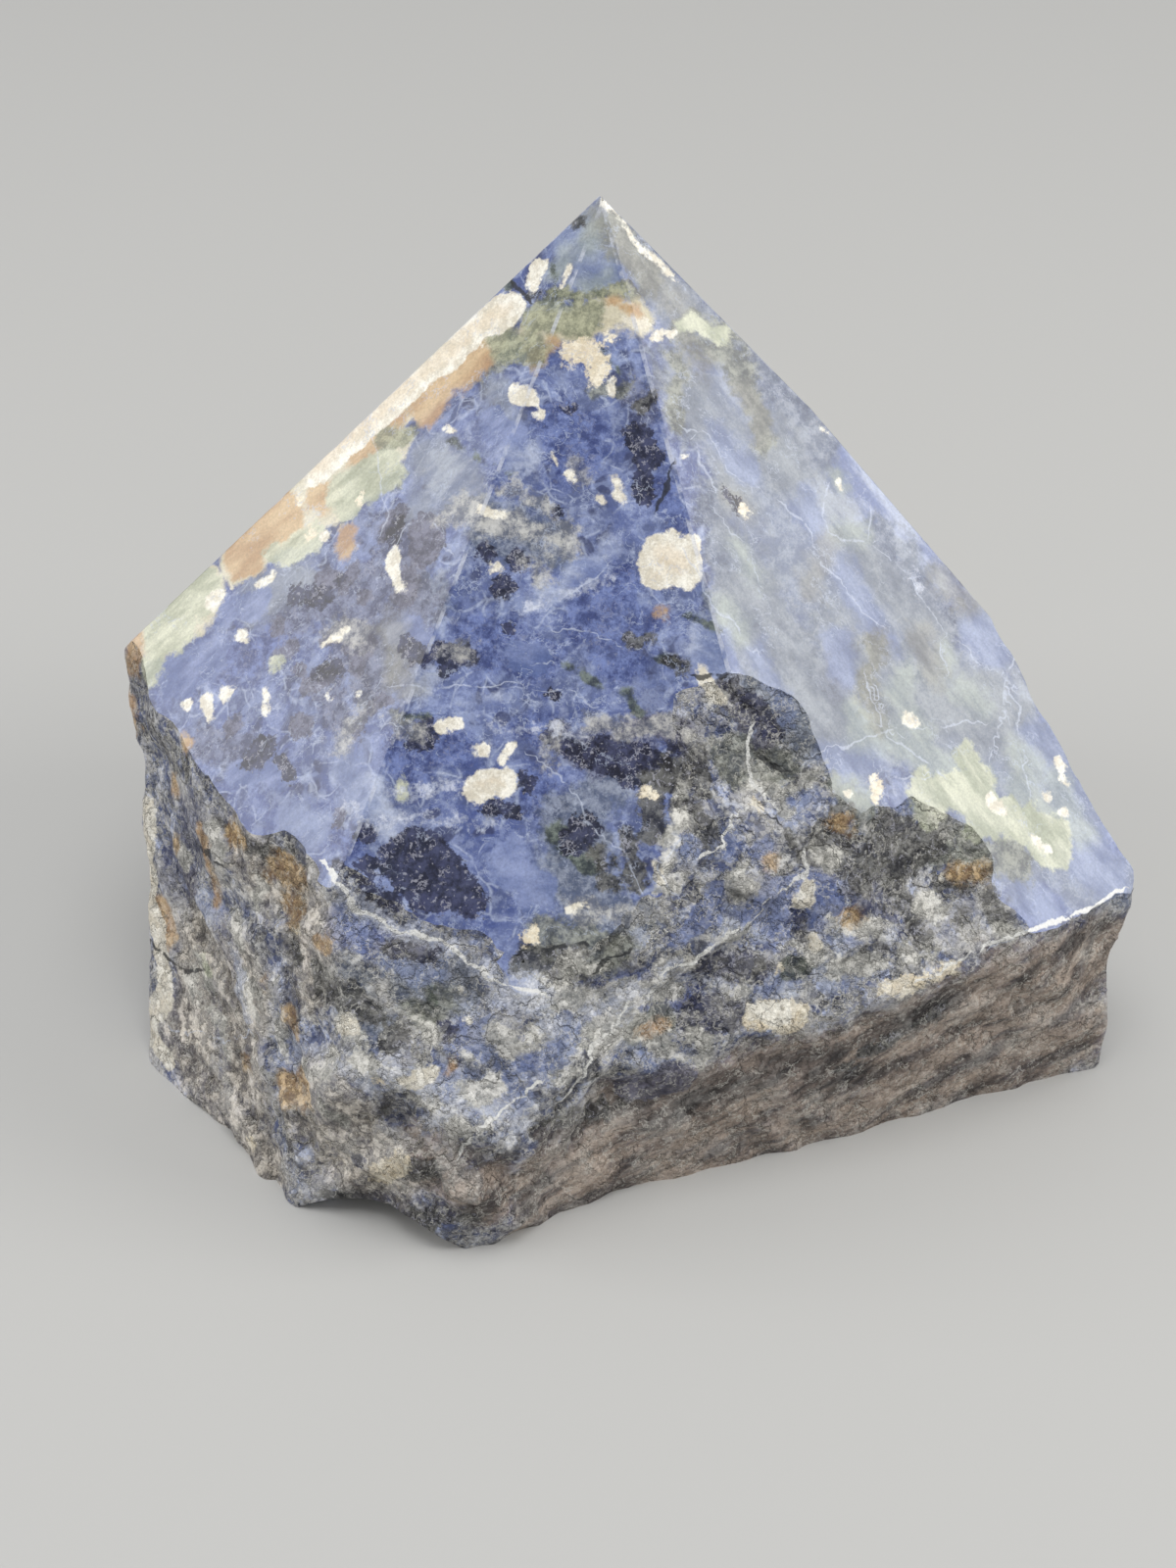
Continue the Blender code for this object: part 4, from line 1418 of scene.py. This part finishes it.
def crumpled(nodes, place, colour, natural):
    """Broken terraces on each noise level: a painted highlight on each crest and painted shade behind
    it.
    """
    heights = []
    for size, strength in CRUMPLES:
        level = nodes.noise(place, size, 5.0, 0.62)
        off = nodes.calc("ABSOLUTE", nodes.calc("SUBTRACT", level, 0.5))
        ridge_highlight = nodes.between(off, 0.022, 0.006)
        shade = nodes.times(nodes.between(level, 0.50, 0.53), nodes.between(level, 0.62, 0.55))
        broad = nodes.noise(place, size * CRUMPLE_SPREAD, 3.0)
        kept = nodes.times(natural, nodes.between(broad, *CRUMPLE_LEVELS))
        # painted shade behind each crest, then a painted highlight on it
        colour = nodes.over(colour, (
            (nodes.times(kept, shade), strength * 0.7, RIDGE_SHADE),
            (nodes.times(kept, ridge_highlight), strength, RIDGE_HIGHLIGHT),
        ))
        rise = strength * size * TERRACE_RISE
        heights.append(nodes.calc("MULTIPLY", nodes.between(level, 0.53, 0.49), rise))
    return colour, nodes.calc("ADD", *heights)


def grains_and_painted_relief_light(nodes, colour, natural, sugar, strength):
    """Odd pale and dull grains, painted light on high points and painted shade in hollows, on the
    skin.
    """
    chance = nodes.one_number(sugar["Color"])
    relief = nodes.attribute("relief")
    grains = (
        (nodes.between(chance, 0.66, 0.80), 0.28, GRAIN_PALE),
        (nodes.between(chance, 0.34, 0.16), 0.28, GRAIN_DULL),
        # painted light on the high points and painted shade in the hollows of the crystal relief
        (nodes.between(relief, -0.05, 0.30), 0.42, PAINTED_HIGH_POINT_LIGHT),
        (nodes.between(relief, 0.02, -0.28), 0.50, PAINTED_HOLLOW_SHADE),
    )
    layers = [(nodes.times(natural, share), cover * strength, own) for share, cover, own in grains]
    return nodes.over(colour, layers)


def curled(nodes, place, colour, natural, polished):
    """Fine pale curls: thick and dense on the broken skin, sparse threads in the polish."""
    curls = nodes.level_lines(nodes.noise(place, 1.1, 4.0, 0.62), 0.030)
    curly = nodes.patches(place, "skin_curls")
    layered = nodes.stretched(nodes.bent(place, 2.0, 1.6), LAYERS, 2.0)
    threads = nodes.level_lines(nodes.noise(layered, 2.6, 4.0, 0.60), 0.014)
    threaded = nodes.patches(place, "threads")
    return nodes.over(colour, (
        (nodes.times(natural, curls, curly), 0.45, CURL),
        (nodes.times(polished, threads, threaded), 0.40, THREAD),
    ))


def speckled(nodes, colour, grain):
    """The colour made a little brighter and darker by a fine grain."""
    speckle = nodes.calc("MULTIPLY_ADD", grain, 0.7, 0.65)
    bright = nodes.make("ShaderNodeCombineColor", Red=speckle, Green=speckle, Blue=speckle)
    return nodes.mix(1.0, colour, bright.outputs[0], "MULTIPLY")


def stone_roughness(nodes, place, polished, sugar):
    """Satin where the stone is polished, and dull on its broken skin."""
    satin = nodes.calc("MULTIPLY_ADD", nodes.noise(place, 2.0, 3.0), 0.10, 0.12)
    rough = nodes.calc("MULTIPLY_ADD", sugar["Distance"], 0.35, 0.55)
    mixed = nodes.make("ShaderNodeMix", {"data_type": "FLOAT"})
    nodes.set(mixed.inputs[0], polished)
    nodes.set(mixed.inputs[2], rough)
    nodes.set(mixed.inputs[3], satin)
    return mixed.outputs[0]


def stone_bump(nodes, place, natural, sugar, terraces, grain):
    """The finest relief: lumps, terraces and sugary grains, and next to nothing on the polish."""
    lumps = nodes.times(nodes.noise(place, 1.3, 5.0, 0.72), 0.6)
    height = nodes.calc("MULTIPLY_ADD", sugar["Distance"], -0.12, lumps)
    height = nodes.times(nodes.calc("ADD", height, terraces), natural)
    height = nodes.calc("MULTIPLY_ADD", grain, 0.004, height)
    bump = nodes.make("ShaderNodeBump", Height=height)
    bump.inputs["Strength"].default_value = 0.9
    bump.inputs["Distance"].default_value = MM
    return bump.outputs[0]


def stone_material():
    """Sodalite: polished on the facets, broken and sugary on the natural skin."""
    material = bpy.data.materials.new("sodalite")
    material.use_nodes = True
    nodes = Nodes(material.node_tree)
    shader = material.node_tree.nodes["Principled BSDF"]
    place = nodes.scaled(nodes.make("ShaderNodeTexCoord").outputs["Object"], 1.0 / MM)
    polished = nodes.attribute("polished")
    natural = nodes.calc("SUBTRACT", 1.0, polished)
    crunchy = nodes.noise(place, 1.5, 7.0, 0.78)
    crunch = nodes.between(crunchy, 0.44, 0.60)
    sugar = nodes.cells(place, SUGAR_GRAIN)
    grain = nodes.noise(place, 0.22, 2.0, 0.7)

    broken = broken_ground(nodes, place, crunch)
    colour = nodes.over(blue_ground(nodes, place, crunch), ((natural, 0.75, broken),))
    colour, terraces = crumpled(nodes, place, colour, natural)
    colour = grains_and_painted_relief_light(nodes, colour, natural, sugar, 1.0)
    colour = marked(nodes, place, colour, natural, tones_of(nodes, place, crunchy))
    colour = grains_and_painted_relief_light(nodes, colour, natural, sugar, 0.5)
    colour = curled(nodes, place, colour, natural, polished)
    # Pale wear on the narrow worn edges, which is also a painted highlight along the facet edges.
    worn = nodes.times(nodes.attribute("worn"), nodes.patches(place, "worn"))
    colour = nodes.over(colour, ((worn, 0.55, WORN_PALE_AND_EDGE_HIGHLIGHT),))
    colour = lined(nodes, place, colour)

    roughness = stone_roughness(nodes, place, polished, sugar)
    bump = stone_bump(nodes, place, natural, sugar, terraces, grain)
    nodes.set(shader.inputs["Base Color"], speckled(nodes, colour, grain))
    nodes.set(shader.inputs["Roughness"], roughness)
    nodes.set(shader.inputs["Normal"], bump)
    shader.inputs["IOR"].default_value = 1.5
    return material


def make_piece():
    """The stone as a piece that stands in for its plain solid."""
    data = build_stone()
    data.materials.append(stone_material())
    piece = bpy.data.objects.new("sodalite_point_look", data)
    bpy.context.scene.collection.objects.link(piece)
    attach(piece, "root")
    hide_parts(NODE)
    print("triangles", len(data.polygons))


# The floor: half its side in metres, its colour and its roughness.
FLOOR_HALF = 3.0
FLOOR_COLOUR = (0.50, 0.50, 0.49, 1.0)
FLOOR_ROUGHNESS = 0.8


def make_floor():
    """A plain pale floor."""
    data = bpy.data.meshes.new("floor")
    half = FLOOR_HALF
    corners = [(-half, -half, 0.0), (half, -half, 0.0), (half, half, 0.0), (-half, half, 0.0)]
    data.from_pydata(corners, [], [(0, 1, 2, 3)])
    material = bpy.data.materials.new("floor")
    material.use_nodes = True
    shader = material.node_tree.nodes["Principled BSDF"]
    shader.inputs["Base Color"].default_value = FLOOR_COLOUR
    shader.inputs["Roughness"].default_value = FLOOR_ROUGHNESS
    data.materials.append(material)
    floor = bpy.data.objects.new("floor", data)
    bpy.context.scene.collection.objects.link(floor)


def make_camera():
    """The camera that the photograph was taken with."""
    data = bpy.data.cameras.new("camera")
    data.sensor_width = SENSOR_WIDTH
    data.lens = FOCAL_PIXELS * SENSOR_WIDTH / PHOTO_HEIGHT
    data.clip_start = 0.01
    camera = bpy.data.objects.new("camera", data)
    camera.location = Vector(CAMERA_PLACE) * MM
    camera.rotation_euler = (math.radians(90.0 - CAMERA_PITCH), 0.0, 0.0)
    bpy.context.scene.collection.objects.link(camera)
    bpy.context.scene.camera = camera


# Softboxes: the way to each from the stone, its size in metres, its brightness and its colour.
SOFTBOX_DISTANCE = 0.75
AIM = Vector((0.0, 0.0, 0.03))
SOFTBOXES = {
    "left": ((-0.93, 0.00, 0.36), 0.42, 3.1, (1.0, 0.985, 0.965)),
    "right": ((0.86, -0.11, 0.50), 0.42, 4.0, (1.0, 0.98, 0.94)),
    "top": ((0.0, -0.20, 0.98), 0.50, 3.5, (1.0, 1.0, 1.0)),
}
ROOM_BRIGHTNESS = 0.50


def make_lights():
    """Soft studio light from the left, the right and above, in a dim room."""
    for name, (way, size, brightness, colour) in SOFTBOXES.items():
        data = bpy.data.lights.new(name, "AREA")
        data.shape = "SQUARE"
        data.size = size
        data.energy = brightness * math.pi * size * size
        data.color = colour
        light = bpy.data.objects.new(name, data)
        light.location = AIM + Vector(way).normalized() * SOFTBOX_DISTANCE
        light.rotation_euler = (AIM - light.location).to_track_quat("-Z", "Y").to_euler()
        bpy.context.scene.collection.objects.link(light)
    world = bpy.data.worlds.new("room")
    world.use_nodes = True
    world.node_tree.nodes["Background"].inputs["Color"].default_value = (1.0, 1.0, 1.0, 1.0)
    world.node_tree.nodes["Background"].inputs["Strength"].default_value = ROOM_BRIGHTNESS
    bpy.context.scene.world = world
    bpy.context.scene.view_settings.view_transform = "Standard"


make_piece()
make_floor()
make_camera()
make_lights()
